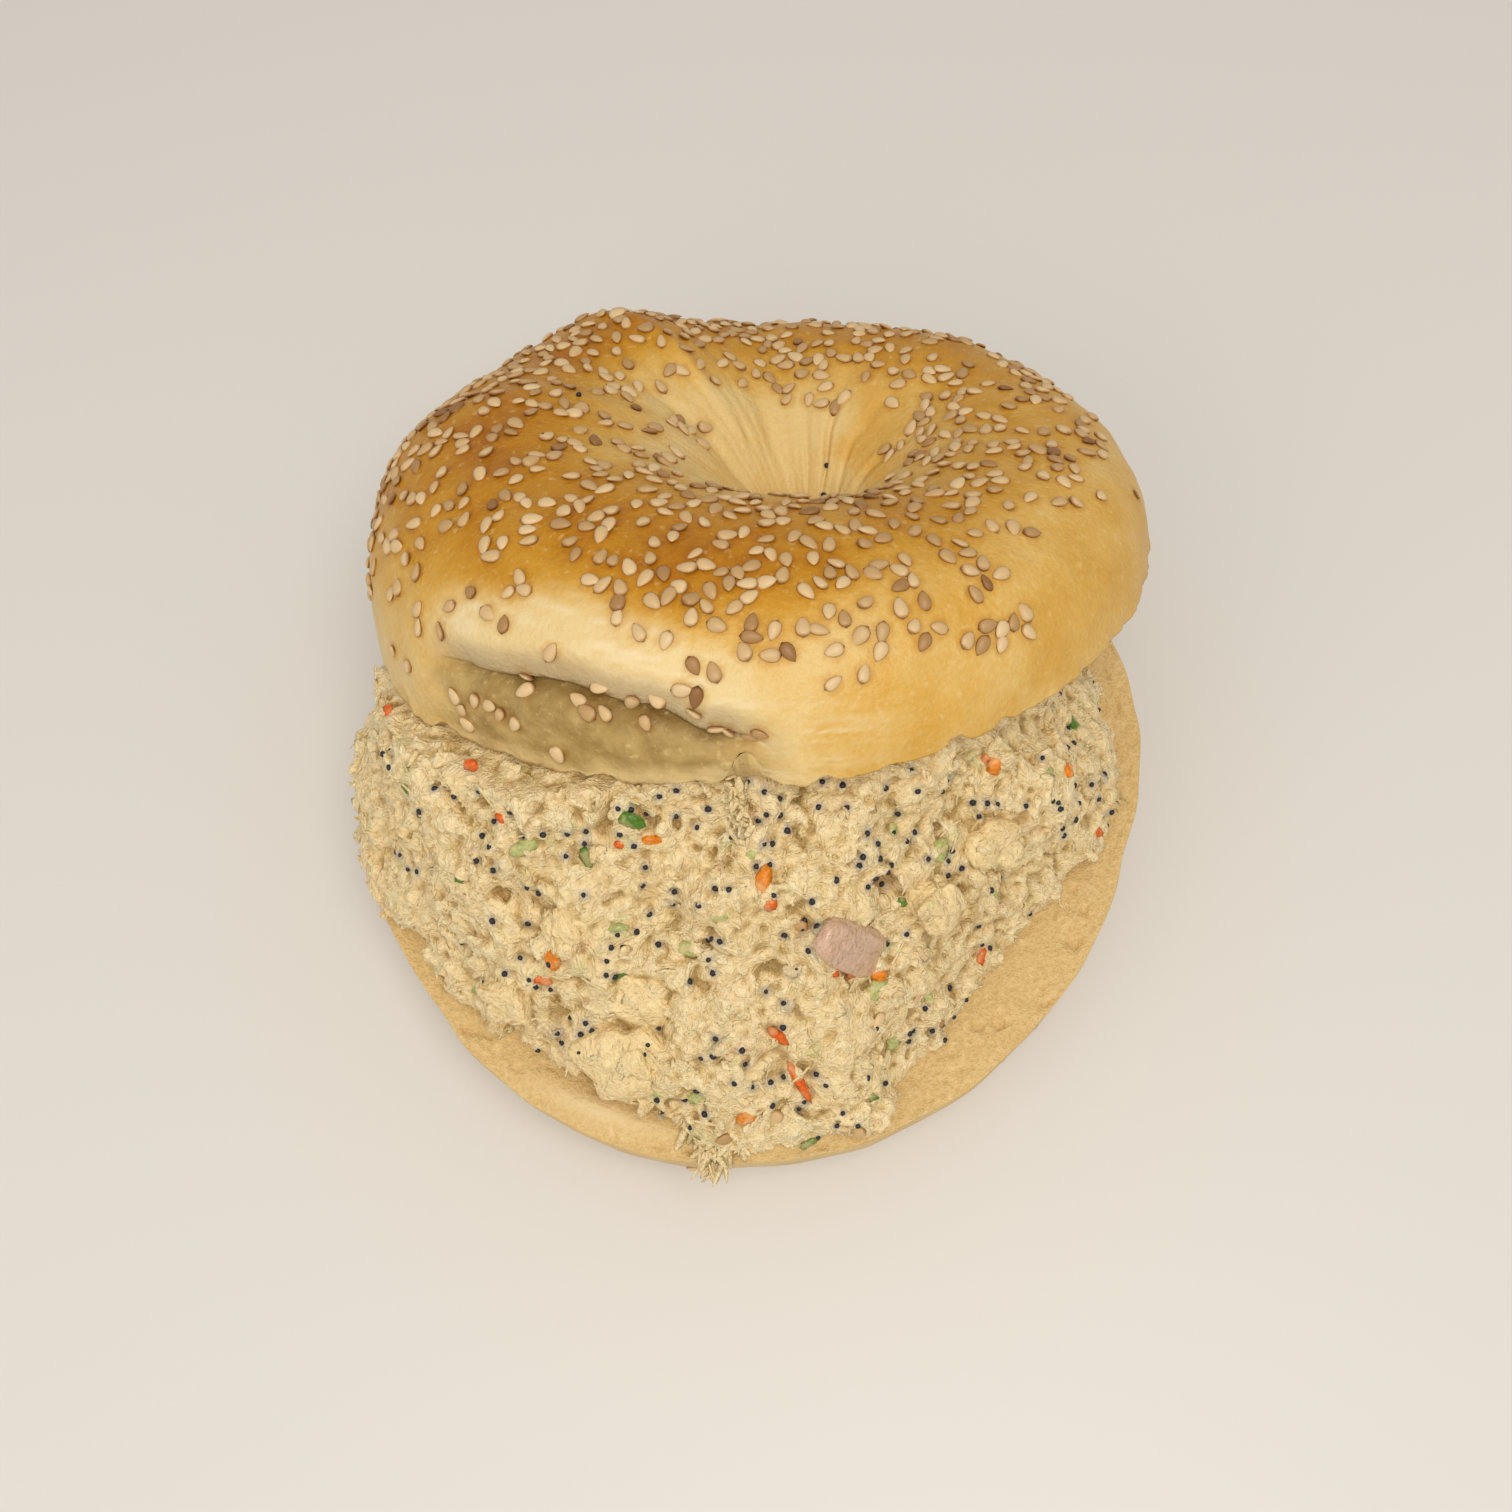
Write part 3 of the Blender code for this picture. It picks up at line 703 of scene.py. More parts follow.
def mottle_group():
    """Soft patches and fine speckle at a size, as two masks from 0 to 1."""
    tree, given, result = new_group(
        "mottle",
        "ShaderNodeTree",
        {"Patch Size": ("Float", 8 * MM), "Speckle Size": ("Float", 0.8 * MM)},
        {"Patch": "Float", "Speckle": "Float"},
    )
    place = object_place(tree)
    for label in ("Patch", "Speckle"):
        pattern = soft_noise(tree, place, given[f"{label} Size"], 3.0)
        tree.links.new(between(tree, pattern.outputs["Fac"], 0.3, 0.7), result[label])
    return tree


def crumb_group():
    """Bread crumb: its colour with painted shade in its pores, and its height for a bump."""
    tree, given, result = new_group(
        "crumb",
        "ShaderNodeTree",
        {"Pale": ("Color", (0.82, 0.61, 0.3, 1)), "Pore": ("Color", (0.66, 0.45, 0.18, 1)),
         "Pore Size": ("Float", 0.7 * MM)},
        {"Color": "Color", "Height": "Float"},
    )
    place = object_place(tree)
    bend = soft_noise(tree, place, 1.5 * MM).outputs["Color"]
    there = vectors(tree, "ADD", place, vectors(tree, "MULTIPLY", bend, (0.9 * MM,) * 3))
    scale = maths(tree, "DIVIDE", 1.0, given["Pore Size"])
    cells = add_node(tree, "ShaderNodeTexVoronoi", {"Vector": there, "Scale": scale}, feature="SMOOTH_F1")
    grain = soft_noise(tree, place, maths(tree, "MULTIPLY", given["Pore Size"], 0.45), 4.0).outputs["Fac"]
    both = maths(tree, "MULTIPLY_ADD", cells.outputs["Distance"], 0.5, maths(tree, "MULTIPLY", grain, 0.8))
    height = between(tree, both, 0.38, 0.85)
    tree.links.new(mix_colour(tree, height, given["Pore"], given["Pale"]), result["Color"])
    tree.links.new(height, result["Height"])
    return tree


def strand_group():
    """Flaked fibres that run one way in each clump: their height, and a tone for each clump."""
    tree, given, result = new_group(
        "strands",
        "ShaderNodeTree",
        {"Clump Size": ("Float", 4 * MM), "Length": ("Float", 3 * MM),
         "Width": ("Float", 0.45 * MM)},
        {"Height": "Float", "Tone": "Float"},
    )
    place = object_place(tree)
    wobble = vectors(tree, "MULTIPLY", soft_noise(tree, place, 2.5 * MM).outputs["Color"], (2.5 * MM,) * 3)
    there = vectors(tree, "ADD", place, wobble)
    scale = maths(tree, "DIVIDE", 1.0, given["Clump Size"])
    cells = add_node(tree, "ShaderNodeTexVoronoi", {"Vector": there, "Scale": scale})
    way = vectors(tree, "NORMALIZE", vectors(tree, "SUBTRACT", cells.outputs["Color"], (0.5, 0.5, 0.5)))
    along = vectors(tree, "DOT_PRODUCT", there, way)
    fine, coarse = maths(tree, "DIVIDE", 1.0, given["Width"]), maths(tree, "DIVIDE", 1.0, given["Length"])
    stretch = maths(tree, "MULTIPLY", along, maths(tree, "SUBTRACT", coarse, fine))
    pulled = vectors(tree, "ADD", scaled(tree, way, stretch), scaled(tree, there, fine))
    fibre = soft_noise(tree, pulled, 1.0).outputs["Fac"]
    tree.links.new(between(tree, fibre, 0.25, 0.75), result["Height"])
    parts = add_node(tree, "ShaderNodeSeparateColor", {0: cells.outputs["Color"]})
    tree.links.new(parts.outputs[0], result["Tone"])
    return tree


def crust_material(name, groups, tones, gloss):
    """Baked crust from pale to dark by its browning, and bare crumb where it was cut."""
    made, tree, surface = new_material(
        name, IOR=1.45, Specular_IOR_Level=0.28, Subsurface_Weight=0.06, Subsurface_Scale=2 * MM
    )
    surface.inputs["Subsurface Radius"].default_value = (1.0, 0.5, 0.2)
    mottle = group_in(tree, groups["mottle"])
    crumb = group_in(tree, groups["crumb"])
    cut = attribute(tree, "cut")
    patch = maths(tree, "MULTIPLY_ADD", mottle.outputs["Patch"], 0.26, -0.13)
    speckle = maths(tree, "MULTIPLY_ADD", mottle.outputs["Speckle"], -0.12, 0.06)
    brown = maths(tree, "ADD", attribute(tree, "browning"), maths(tree, "ADD", patch, speckle), clamp=True)
    colour = colour_ramp(tree, brown, tones)
    small = soft_noise(tree, object_place(tree), 3 * MM, 3.0).outputs["Fac"]
    # Below the fold: dull olive dough of its own, made darker still as painted shade under the overhanging
    # lip.
    lobe = mix_colour(tree, between(tree, small, 0.36, 0.64), (0.33, 0.205, 0.06), (0.48, 0.33, 0.12))
    lobe = mix_colour(tree, masked(tree, "torn_edge", 0.8), lobe, (0.68, 0.51, 0.24))
    # Mixed in: the lobe, painted shade under the lip, stretch marks with a painted lip sheen, painted crease
    # shadow.
    for label, most, tone in (
        ("lobe", 0.94, lobe), ("shaded", 0.75, (0.5, 0.4, 0.25)), ("stretched_and_sheen", 0.7, (0.86, 0.73, 0.47)),
        ("crease", 0.7, (0.17, 0.09, 0.015)),
    ):
        colour = mix_colour(tree, masked(tree, label, most), colour, tone)
    fleck = soft_noise(tree, object_place(tree), 1.1 * MM, 3.0).outputs["Fac"]
    fleck = maths(tree, "MULTIPLY", between(tree, fleck, 0.6, 0.7), 0.3)
    colour = mix_colour(tree, fleck, colour, (0.82, 0.62, 0.3))
    # Darker round the seeds: painted contact shadow and gathered glaze.
    colour = shaded_by(tree, colour, "seed_shadow_and_glaze", ((0.0, (1, 1, 1)), (1.0, (0.9, 0.8, 0.64))))
    colour = mix_colour(tree, cut, colour, crumb.outputs["Color"])
    rough = maths(tree, "MULTIPLY_ADD", mottle.outputs["Speckle"], 0.12, gloss)
    rough = maths(tree, "ADD", rough, maths(tree, "MULTIPLY", cut, 0.4))
    rough = maths(tree, "MULTIPLY_ADD", attribute(tree, "stretched_and_sheen"), -0.12, rough)
    grain = soft_noise(tree, object_place(tree), 0.35 * MM, 2.0).outputs["Fac"]
    blister = maths(tree, "MULTIPLY_ADD", grain, 0.5, mottle.outputs["Speckle"])
    blister = maths(tree, "MULTIPLY", blister, maths(tree, "SUBTRACT", 1.0, cut))
    pores = maths(tree, "MULTIPLY", crumb.outputs["Height"], maths(tree, "MULTIPLY", cut, 2.5))
    normal = bump(tree, maths(tree, "ADD", blister, pores), 0.14 * MM, 0.6)
    feed(tree, surface, Base_Color=colour, Roughness=rough, Normal=normal)
    return made


def seed_material():
    """Sesame: pale to toasted by its tone, darker at the point, with painted shade low on its side."""
    made, tree, surface = new_material(
        "sesame", IOR=1.45, Roughness=0.42, Subsurface_Weight=0.1, Subsurface_Scale=0.5 * MM
    )
    tint = colour_ramp(tree, attribute(tree, "tint"), SEED_TONES)
    feed(tree, surface, Base_Color=shaded_by(tree, tint, "dark_tip_and_painted_side_shade", SEED_TIP_AND_PAINTED_SHADE))
    return made


def salad_material(name, groups, tones, clump_size, strand_width):
    """Flaked fish in dressing: fibres, painted shade in hollows, a painted highlight on peaks, and patches of
    green, grey and pink.
    """
    made, tree, surface = new_material(
        name, IOR=1.42, Subsurface_Weight=0.1, Subsurface_Scale=0.7 * MM, Coat_Weight=0.3, Coat_Roughness=0.16
    )
    surface.inputs["Subsurface Radius"].default_value = (1.0, 0.6, 0.3)
    mottle = group_in(tree, groups["mottle"], Patch_Size=6 * MM, Speckle_Size=1.1 * MM)
    strand = group_in(
        tree, groups["strands"], Clump_Size=clump_size, Width=strand_width, Length=8 * strand_width
    )
    share = maths(tree, "MULTIPLY", mottle.outputs["Patch"], 0.25)
    share = maths(tree, "MULTIPLY_ADD", mottle.outputs["Speckle"], 0.4, share)
    share = maths(tree, "MULTIPLY_ADD", strand.outputs["Height"], 0.35, share)
    # The random tone of strewn pieces, and on the dressed mass a painted highlight on its peaks.
    share = maths(tree, "MULTIPLY_ADD", attribute(tree, "tint"), 0.3, maths(tree, "SUBTRACT", share, 0.1))
    colour = colour_ramp(tree, share, tones)
    for shift, tone in ((0.0, (0.62, 0.62, 0.28)), (3.0, (0.74, 0.46, 0.27))):
        place = vectors(tree, "ADD", object_place(tree), (shift, shift, 0.0))
        patch = between(tree, soft_noise(tree, place, 4.5 * MM, 3.0).outputs["Fac"], 0.62, 0.7)
        colour = mix_colour(tree, maths(tree, "MULTIPLY", patch, 0.4), colour, tone)
    colour = mix_colour(tree, masked(tree, "smudge", 0.5), colour, (0.36, 0.34, 0.33))
    colour = mix_colour(tree, masked(tree, "flesh", 0.7), colour, (0.86, 0.7, 0.4))
    # Painted shade in the hollows.
    colour = shaded_by(tree, colour, "hollow_shade", HOLLOW_PAINTED_SHADE)
    grain = soft_noise(tree, object_place(tree), 0.6 * MM, 4.0).outputs["Fac"]
    height = maths(tree, "MULTIPLY_ADD", strand.outputs["Height"], 0.6, maths(tree, "MULTIPLY", grain, 0.8))
    rough = maths(tree, "MULTIPLY_ADD", mottle.outputs["Patch"], 0.24, 0.3)
    feed(tree, surface, Base_Color=colour, Roughness=rough, Normal=bump(tree, height, 0.5 * MM, 1.0))
    return made


def bit_material(name, groups, colour, dressed, **uniform):
    """A bit of vegetable, darker in places and smeared with dressing in others."""
    made, tree, surface = new_material(name, IOR=1.42, Roughness=0.32, Subsurface_Scale=0.8 * MM, **uniform)
    mottle = group_in(tree, groups["mottle"], Patch_Size=2.2 * MM, Speckle_Size=0.5 * MM)
    deep = tuple(0.6 * part for part in colour)
    shade = mix_colour(tree, mottle.outputs["Speckle"], colour, deep)
    smear = maths(tree, "MULTIPLY", between(tree, mottle.outputs["Patch"], 0.5, 0.8), dressed)
    shade = mix_colour(tree, smear, shade, (0.76, 0.58, 0.3))
    feed(tree, surface, Base_Color=shade, Normal=bump(tree, mottle.outputs["Speckle"], 0.1 * MM, 0.7))
    return made


def plain_material(name, colour, roughness):
    made, _, surface = new_material(name, Roughness=roughness)
    surface.inputs["Base Color"].default_value = (*colour, 1)
    return made


# Bread.


def ring_grid(around, rows):
    """Angles round a ring and values across it, as two grids."""
    return np.meshgrid(np.arange(around) * TURN / around, rows, indexing="ij")


def cut_face(crust, share):
    """Rows of a flat cut face, from a crust's last row back towards its first by growing shares."""
    return crust[:, -1:, :] + (crust[:, :1, :] - crust[:, -1:, :]) * share[None, :, None]


def top_half(material, seeds):
    """The top half: baked crust over its ridge, a fold at its front left, and a cut face of crumb below."""
    around, crust_rows, cut_rows = TOP_GRID
    share = np.linspace(0, 1, crust_rows)
    theta, phi = ring_grid(around, math.pi * (share - TOP_CROWDING * np.sin(TURN * share) / TURN))
    crust = top_crust(theta, phi)
    face = cut_face(crust, (np.arange(cut_rows) + 1.0) / (cut_rows + 1))

    folded, above = fold_strength(theta, phi), above_fold(crust, theta)
    crust[..., 2] -= LIP_DROOP * folded * np.exp(-(((above - 1.25) / 0.85) ** 2))
    # The dough below the fold, which the finish paints darker: its own olive tone and painted shade under the
    # lip.
    lobe = folded * (1 - smooth_step(-1.0, 0.4, above))
    torn_edge = folded * (1 - smooth_step(0.4, 3.6, crust[..., 2] / MM + 1.2 * noise_at(crust, 3 * MM)))
    # Painted shadow in the crease of the fold, broken up along it by noise.
    crease = folded * np.exp(-(((above + 0.5) / 1.3) ** 2))
    crease = crease * smooth_step(-0.5, 0.3, noise_at(crust, 7 * MM) + 0.1)
    shaded = folded * smooth_step(-0.2, 0.6, above) * (1 - smooth_step(1.8, 3.6, above))
    # The lip's band above: pale dough of its own, whitened further by the finish as a painted sheen.
    lip = folded * smooth_step(1.8, 3.4, above) * (1 - smooth_step(5.0, 8.0, above))
    for angle, width, reach in TEARS:
        torn = reach * np.exp(-(((degrees_of(theta) - angle) / width) ** 2)) * (phi < math.pi / 2)
        crust[..., 2] = np.maximum(crust[..., 2], torn)
    edge = compass(theta) * TOP_WIDEST
    ragged = 0.5 * MM * noise_at(edge, 3.5 * MM) + 0.25 * MM * noise_at(edge, 1.2 * MM)
    crust += compass(theta) * (ragged * (1 - smooth_step(0.0, 0.14, phi)))[..., None]

    points = np.concatenate([crust, face], 1)
    normal = normals_of(points)
    blank = np.zeros(face.shape[:2])
    cut, lobe, crease, shaded, lip, torn_edge, full_phi, full_theta = (
        np.concatenate([value, blank + fill], 1) for value, fill in (
            (0 * phi, 1), (lobe, 0), (crease, 0), (shaded, 0), (lip, 0), (torn_edge, 0), (phi, math.pi),
            (theta, theta[:, :1]),
        )
    )
    round_degrees, degrees = degrees_of(full_theta), np.degrees(full_phi)

    dimple = 0.35 * MM * noise_at(points, 9 * MM) + 0.13 * MM * noise_at(points, 2.5 * MM, (3, 1, 2))
    pull = smooth_step(1.75, 2.6, full_phi) * (1 - cut)
    rim = compass(full_theta) + np.array([0, 0, 0.1]) * pull[..., None]
    pleat = pull * (0.8 * MM * noise_at(rim, 0.4) + 0.12 * MM * noise_at(rim, 0.08))
    for angle, width, depth in FUNNEL_CREASES:
        away = degrees_of(full_theta - math.radians(angle) + 0.1 * noise_at(points, 8 * MM)) / width
        pleat -= depth * np.exp(-(away**2)) * pull * (1 - smooth_step(2.5, 3.0, full_phi))
    wrinkle = lobe * 0.8 * MM * noise_at(points * np.array([1, 1, 1.5]), 5 * MM, (5, 5, 1))
    wrinkle += (lobe + 0.4 * shaded) * 0.25 * MM * noise_at(points, 1.8 * MM, (2, 5, 1))
    pore = -0.35 * MM * np.abs(noise_at(points, 1.6 * MM, (1, 8, 4)))
    points = points + normal * (np.where(cut > 0.5, pore, dimple + pleat + wrinkle))[..., None]

    front, right = np.maximum(0, -np.sin(full_theta)), np.maximum(0, np.cos(full_theta))
    low = 6 + 34 * front + 30 * right
    patchy = 9 * noise_at(points, 14 * MM, (2, 2, 2))
    browning = smooth_step(low - 16, low + 34, degrees + patchy)
    browning *= 1 - smooth_step(96, 136, degrees + patchy)
    browning *= 0.72 - 0.2 * right
    tan = 0.3 * smooth_step(-98, -70, round_degrees) * (1 - smooth_step(60, 100, round_degrees))
    browning = np.maximum(browning, (tan + 0.012 * patchy) * (1 - smooth_step(90, 120, degrees)))
    # Painted shade on the right wall of the hole's funnel, added as browning.
    funnel_shade = smooth_step(-30, 0, round_degrees) * (1 - smooth_step(40, 62, round_degrees))
    browning += 0.3 * funnel_shade * pull * (1 - smooth_step(2.4, 2.7, full_phi))
    for angle, place in AMBER_SPOTS:
        away = (degrees_of(full_theta - math.radians(angle)) / 24) ** 2 + ((degrees - place) / 15) ** 2
        browning += 0.24 * np.exp(-away)
    streak = pull * noise_at(rim, 0.05, (0, 0, 7))
    browning = np.clip(browning * (1 - 0.8 * lip) + 0.08 * streak, 0, 1)
    torn = np.stack([full_theta * 1.5, full_phi * 9 + full_theta * 3, full_theta * 0], -1)
    lines = smooth_step(0.0, 0.4, noise_at(torn, 0.4) + 0.4 * noise_at(torn, 0.15))
    at_notch = np.exp(-(((round_degrees + 88) / 9) ** 2) - ((degrees - 11) / 10) ** 2)
    # Pale stretch streaks at the notch, and whiter streaks along the lip as a painted sheen.
    stretched_and_sheen = np.clip(lines * (at_notch + 0.6 * lip) + 0.4 * lip, 0, 1) * (1 - cut)
    # Crust darker round each seed: painted contact shadow, and the glaze gathered round it.
    near = smooth_step(1.8 * MM, 1.2 * MM, distance_to(points, seeds)) * (1 - cut)
    return mesh_object(
        "top_crust", moved(points, top_pose()), ring_faces(*points.shape[:2]),
        {"browning": browning, "cut": cut, "lobe": lobe, "crease": crease, "shaded": shaded,
         "stretched_and_sheen": stretched_and_sheen, "seed_shadow_and_glaze": near, "torn_edge": torn_edge},
        material,
    )


def lower_half(material):
    """The lower half: thin crust round its side and base, and a cut face of open crumb."""
    around, crust_rows, cut_rows = LOWER_GRID
    theta, phi = ring_grid(around, math.pi * smooth_step(0, 1, np.linspace(1, 0, crust_rows)))
    crust = lower_crust(theta, phi)
    face = cut_face(crust, ((np.arange(cut_rows) + 1.0) / (cut_rows + 1)) ** 1.5)
    points = np.concatenate([crust, face], 1)
    normal = normals_of(points)
    blank = np.zeros(face.shape[:2])
    cut = np.concatenate([0 * phi, blank + 1], 1)

    reach = np.hypot(points[..., 0], points[..., 1])
    round_lip = (degrees_of(theta[:, :1]) - LIP_AT) / LIP_SPREAD
    lip = np.exp(-(round_lip**2) - ((reach - LIP_REACH) / LIP_WIDTH) ** 2)
    dimple = 0.25 * MM * noise_at(points, 7 * MM) * smooth_step(0, 3 * MM, points[..., 2])
    rough = 0.35 * MM * noise_at(points, 3 * MM, (1, 8, 4))
    rough = rough + 0.22 * MM * noise_at(points, 1.2 * MM, (5, 8, 4))
    hole = -0.8 * MM * smooth_step(0.35, 0.65, noise_at(points, 2.1 * MM, (2, 2, 9)))
    inside = smooth_step(0, 2 * MM, np.hypot(crust[:, -1:, 0], crust[:, -1:, 1]) - reach)
    face_relief = (np.minimum(rough, 0.2 * MM) + hole) * (1 - lip) * inside + LIP_HEIGHT * lip
    points = points + normal * (np.where(cut > 0.5, face_relief, dimple))[..., None]
    points[..., 2] = np.maximum(points[..., 2], 0)

    browning = 0.42 + 0.2 * noise_at(points, 12 * MM, (4, 4, 4))
    browning += 0.2 * (1 - smooth_step(0, 6 * MM, points[..., 2]))
    browning *= smooth_step(0.02, 0.3, np.concatenate([phi, blank], 1))
    return mesh_object(
        "lower_crust", points - np.array(MIDDLE), ring_faces(*points.shape[:2]),
        {"browning": browning, "cut": cut * (1 - 0.6 * lip), "stretched_and_sheen": cut * lip}, material,
    )


# Salad.


def heap_mass():
    """The heap before it is dressed: clumps and fibres with hollows, pressed flat under the top half."""
    around, rows, under_rows = HEAP_GRID
    turn = np.arange(around) * TURN / around
    theta = turn - HEAP_CROWDING * np.sin(turn + math.pi / 2)
    theta, share = np.meshgrid(theta, np.linspace(HEAP_INNERMOST, 1, rows), indexing="ij")
    smooth = heap_top(theta, share)
    normal = normals_of(smooth)
    normal[:, [0, -1]] = normal[:, [1, -2]]
    normal *= np.sign(normal[..., 2:] + 0.3)

    edge, centre = clumps(bent(smooth, 5 * MM, 2.0 * MM), 7.0 * MM)
    small_edge, small_centre = clumps(bent(smooth, 2.4 * MM, 0.9 * MM, 5.0), 2.7 * MM, (5, 1, 2))
    plateau = 1.5 * MM * (fixed_share(centre, 3.0) - 0.4) * smooth_step(0, 0.3, edge)
    lump = 0.8 * MM * (fixed_share(small_centre, 4.0) - 0.3) * smooth_step(0, 0.4, small_edge)
    fibre = 0.35 * MM * strands(smooth, centre, 6 * MM, 1.1 * MM)
    fine = 0.4 * MM * noise_at(smooth, 1.5 * MM, (3, 3, 8))
    crack = -1.6 * MM * smooth_step(0.16, 0.02, edge)
    crack = crack * smooth_step(0.0, 0.4, noise_at(smooth, 9 * MM, (9, 2, 6)))
    detail = plateau + lump + fibre + fine + crack
    uneven = bent(smooth, 2 * MM, 1.5 * MM)
    for angle, place, width, depth in HOLLOWS:
        away = (uneven - spots_on(heap_top, [(math.radians(angle), place)])[0]) / (width * MM)
        detail -= depth * MM * np.exp(-((away * np.array([1, 1, 0.7])) ** 2).sum(-1))
    top = between_breads(smooth + normal * detail[..., None])
    open_space = smooth_step(0.3 * MM, 1.6 * MM, under_top(top) - top[..., 2])

    rim = top[:, -1:, :]
    under = rim * np.linspace(0.97, 0.1, under_rows)[None, :, None]
    under[..., 2] = lower_cut(under) + GAP
    points = np.concatenate([under[:, ::-1], top[:, ::-1]], 1) - np.array(MIDDLE)
    blank = np.zeros(under.shape[:2])
    attributes = {
        # Painted shade in the heap's hollows and cracks.
        "hollow_shade": np.concatenate([blank, smooth_step(-0.3 * MM, -2.4 * MM, detail)[:, ::-1]], 1),
        "open": np.concatenate([blank, open_space[:, ::-1]], 1),
    }
    return mesh_object("heap_mass", points, ring_faces(*points.shape[:2]), attributes)


def finished(obj):
    """A plain mesh made by an object with its modifiers, which are then taken off."""
    bpy.context.view_layer.update()
    mesh = bpy.data.meshes.new_from_object(obj.evaluated_get(bpy.context.evaluated_depsgraph_get()))
    obj.modifiers.clear()
    return mesh


def bulge_of(mesh, points, rounds=14):
    """How far each point of a mesh stands out of its smoothed surroundings, less than 0 in a pit."""
    ends = np.empty(2 * len(mesh.edges), np.int64)
    mesh.edges.foreach_get("vertices", ends)
    one, other = ends[::2], ends[1::2]
    count = len(points)
    near = np.bincount(one, minlength=count) + np.bincount(other, minlength=count)
    even = points.copy()
    for _ in range(rounds):
        total = [
            np.bincount(one, even[other, axis], count) + np.bincount(other, even[one, axis], count)
            for axis in range(3)
        ]
        even = np.stack(total, -1) / near[:, None]
    return ((points - even) * values_of(mesh.vertices, "normal", 3)).sum(-1)


def nearness(points, surface, reach):
    """1 at points on or near a surface, falling to 0 at a distance."""
    found = [surface.find_nearest(point, 2 * reach)[3] for point in points.tolist()]
    away = np.array([2 * reach if distance is None else distance for distance in found])
    return smooth_step(reach, 0.4 * reach, away)


def salad_core(mass, flakes, fish, poppies, material):
    """The salad's one mass: the heap with its flakes and pieces of fish, joined by dressing."""
    bm = bmesh.new()
    for obj in (mass, fish, *flakes):
        bm.from_mesh(obj.data)
    joint = bpy.data.meshes.new("joint")
    bm.to_mesh(joint)
    bm.free()
    obj = in_scene("salad_core", joint)
    for kind, settings in (
        ("REMESH", {"mode": "VOXEL", "voxel_size": DRESSING, "adaptivity": THINNED}),
        ("SMOOTH", {"factor": 0.5, "iterations": DRESSED}),
        ("DECIMATE", {"ratio": KEPT}),
    ):
        modifier = obj.modifiers.new(kind, kind)
        for name, value in settings.items():
            setattr(modifier, name, value)
    obj.data = finished(obj)
    mesh = obj.data
    mesh.shade_smooth()
    points = values_of(mesh.vertices, "co", 3).astype(float)
    there = points + np.array(MIDDLE)
    over = np.where(past_top_edge(there) < -1 * MM, under_top(there) - 0.1 * MM, 1.0)
    points[:, 2] = np.minimum(points[:, 2], over)
    mesh.vertices.foreach_set("co", points.astype(np.float32).reshape(-1))

    tree = tree_of(values_of(mass.data.vertices, "co", 3).tolist())
    nearest = np.array([tree.find(point)[1] for point in points.tolist()])
    deep = values_of(mass.data.attributes["hollow_shade"].data, "value")
    bulge = bulge_of(mesh, points)
    seen = smooth_step(0.3 * MM, 1.5 * MM, under_top(there) - there[:, 2])
    seen = seen * smooth_step(0.5 * MM, 1.5 * MM, there[:, 2] - lower_cut(there))
    add_attributes(mesh, {
        # Painted shade in the hollows and in pits of the dressed surface.
        "hollow_shade": np.clip(0.8 * deep[nearest] + smooth_step(-0.02 * MM, -0.45 * MM, bulge), 0, 1),
        "open": seen,
        "smudge": smooth_step(1.2 * MM, 0.6 * MM, distance_to(points, poppies)),
        # Paler where the surface bulges out: a painted highlight on its peaks.
        "tint": 0.5 + 0.5 * smooth_step(0.0, 0.35 * MM, bulge),
        "flesh": nearness(points, surface_of(fish), 0.6 * MM),
    })
    mesh.materials.clear()
    mesh.materials.append(material)
    for used in (mass, fish, *flakes):
        bpy.data.objects.remove(used)
    return obj


def in_salad(angle, share, turn=0.0, step=0.01):
    """A frame on the heap's smooth surface, from a compass angle, a share of the reach and a turn."""
    placed = lying_on(heap_side, -math.radians(angle), share, math.radians(turn), step)
    return Matrix.Translation(-MIDDLE) @ placed


def poppy_places():
    """Places of the poppy seeds on the open salad, many of them in groups."""
    chance = random.Random(7)
    groups = [(chance.uniform(-200, 20), chance.uniform(0.36, 1.0)) for _ in range(POPPY_GROUPS)]
    clean = [(math.radians(angle), share) for angle, share, *_ in (*LARGE_FLAKES, PINK_PIECE)]
    bare = [Vector(spot) for spot in spots_on(heap_top, clean)]
    chosen, points = [], []
    while len(chosen) < POPPIES:
        angle, share = chance.choice(groups)
        if chance.random() < POPPIES_ALONE:
            angle, share = chance.uniform(-200, 20), chance.uniform(0.33, 1.0)
        angle, share = angle + chance.gauss(0, 2.3), min(1.0, share + chance.gauss(0, 0.032))
        point = spots_on(heap_top, [(math.radians(angle), share)])
        here = Vector(point[0])
        hidden = (under_top(point) - point[..., 2])[0] < POPPY_CLEAR
        if hidden or any((here - other).length < POPPY_OFF_FISH for other in bare):
            continue
        if all((here - other).length > POPPY_APART for other in points):
            chosen.append((angle, share, chance.uniform(0, 360)))
            points.append(here)
    return chosen


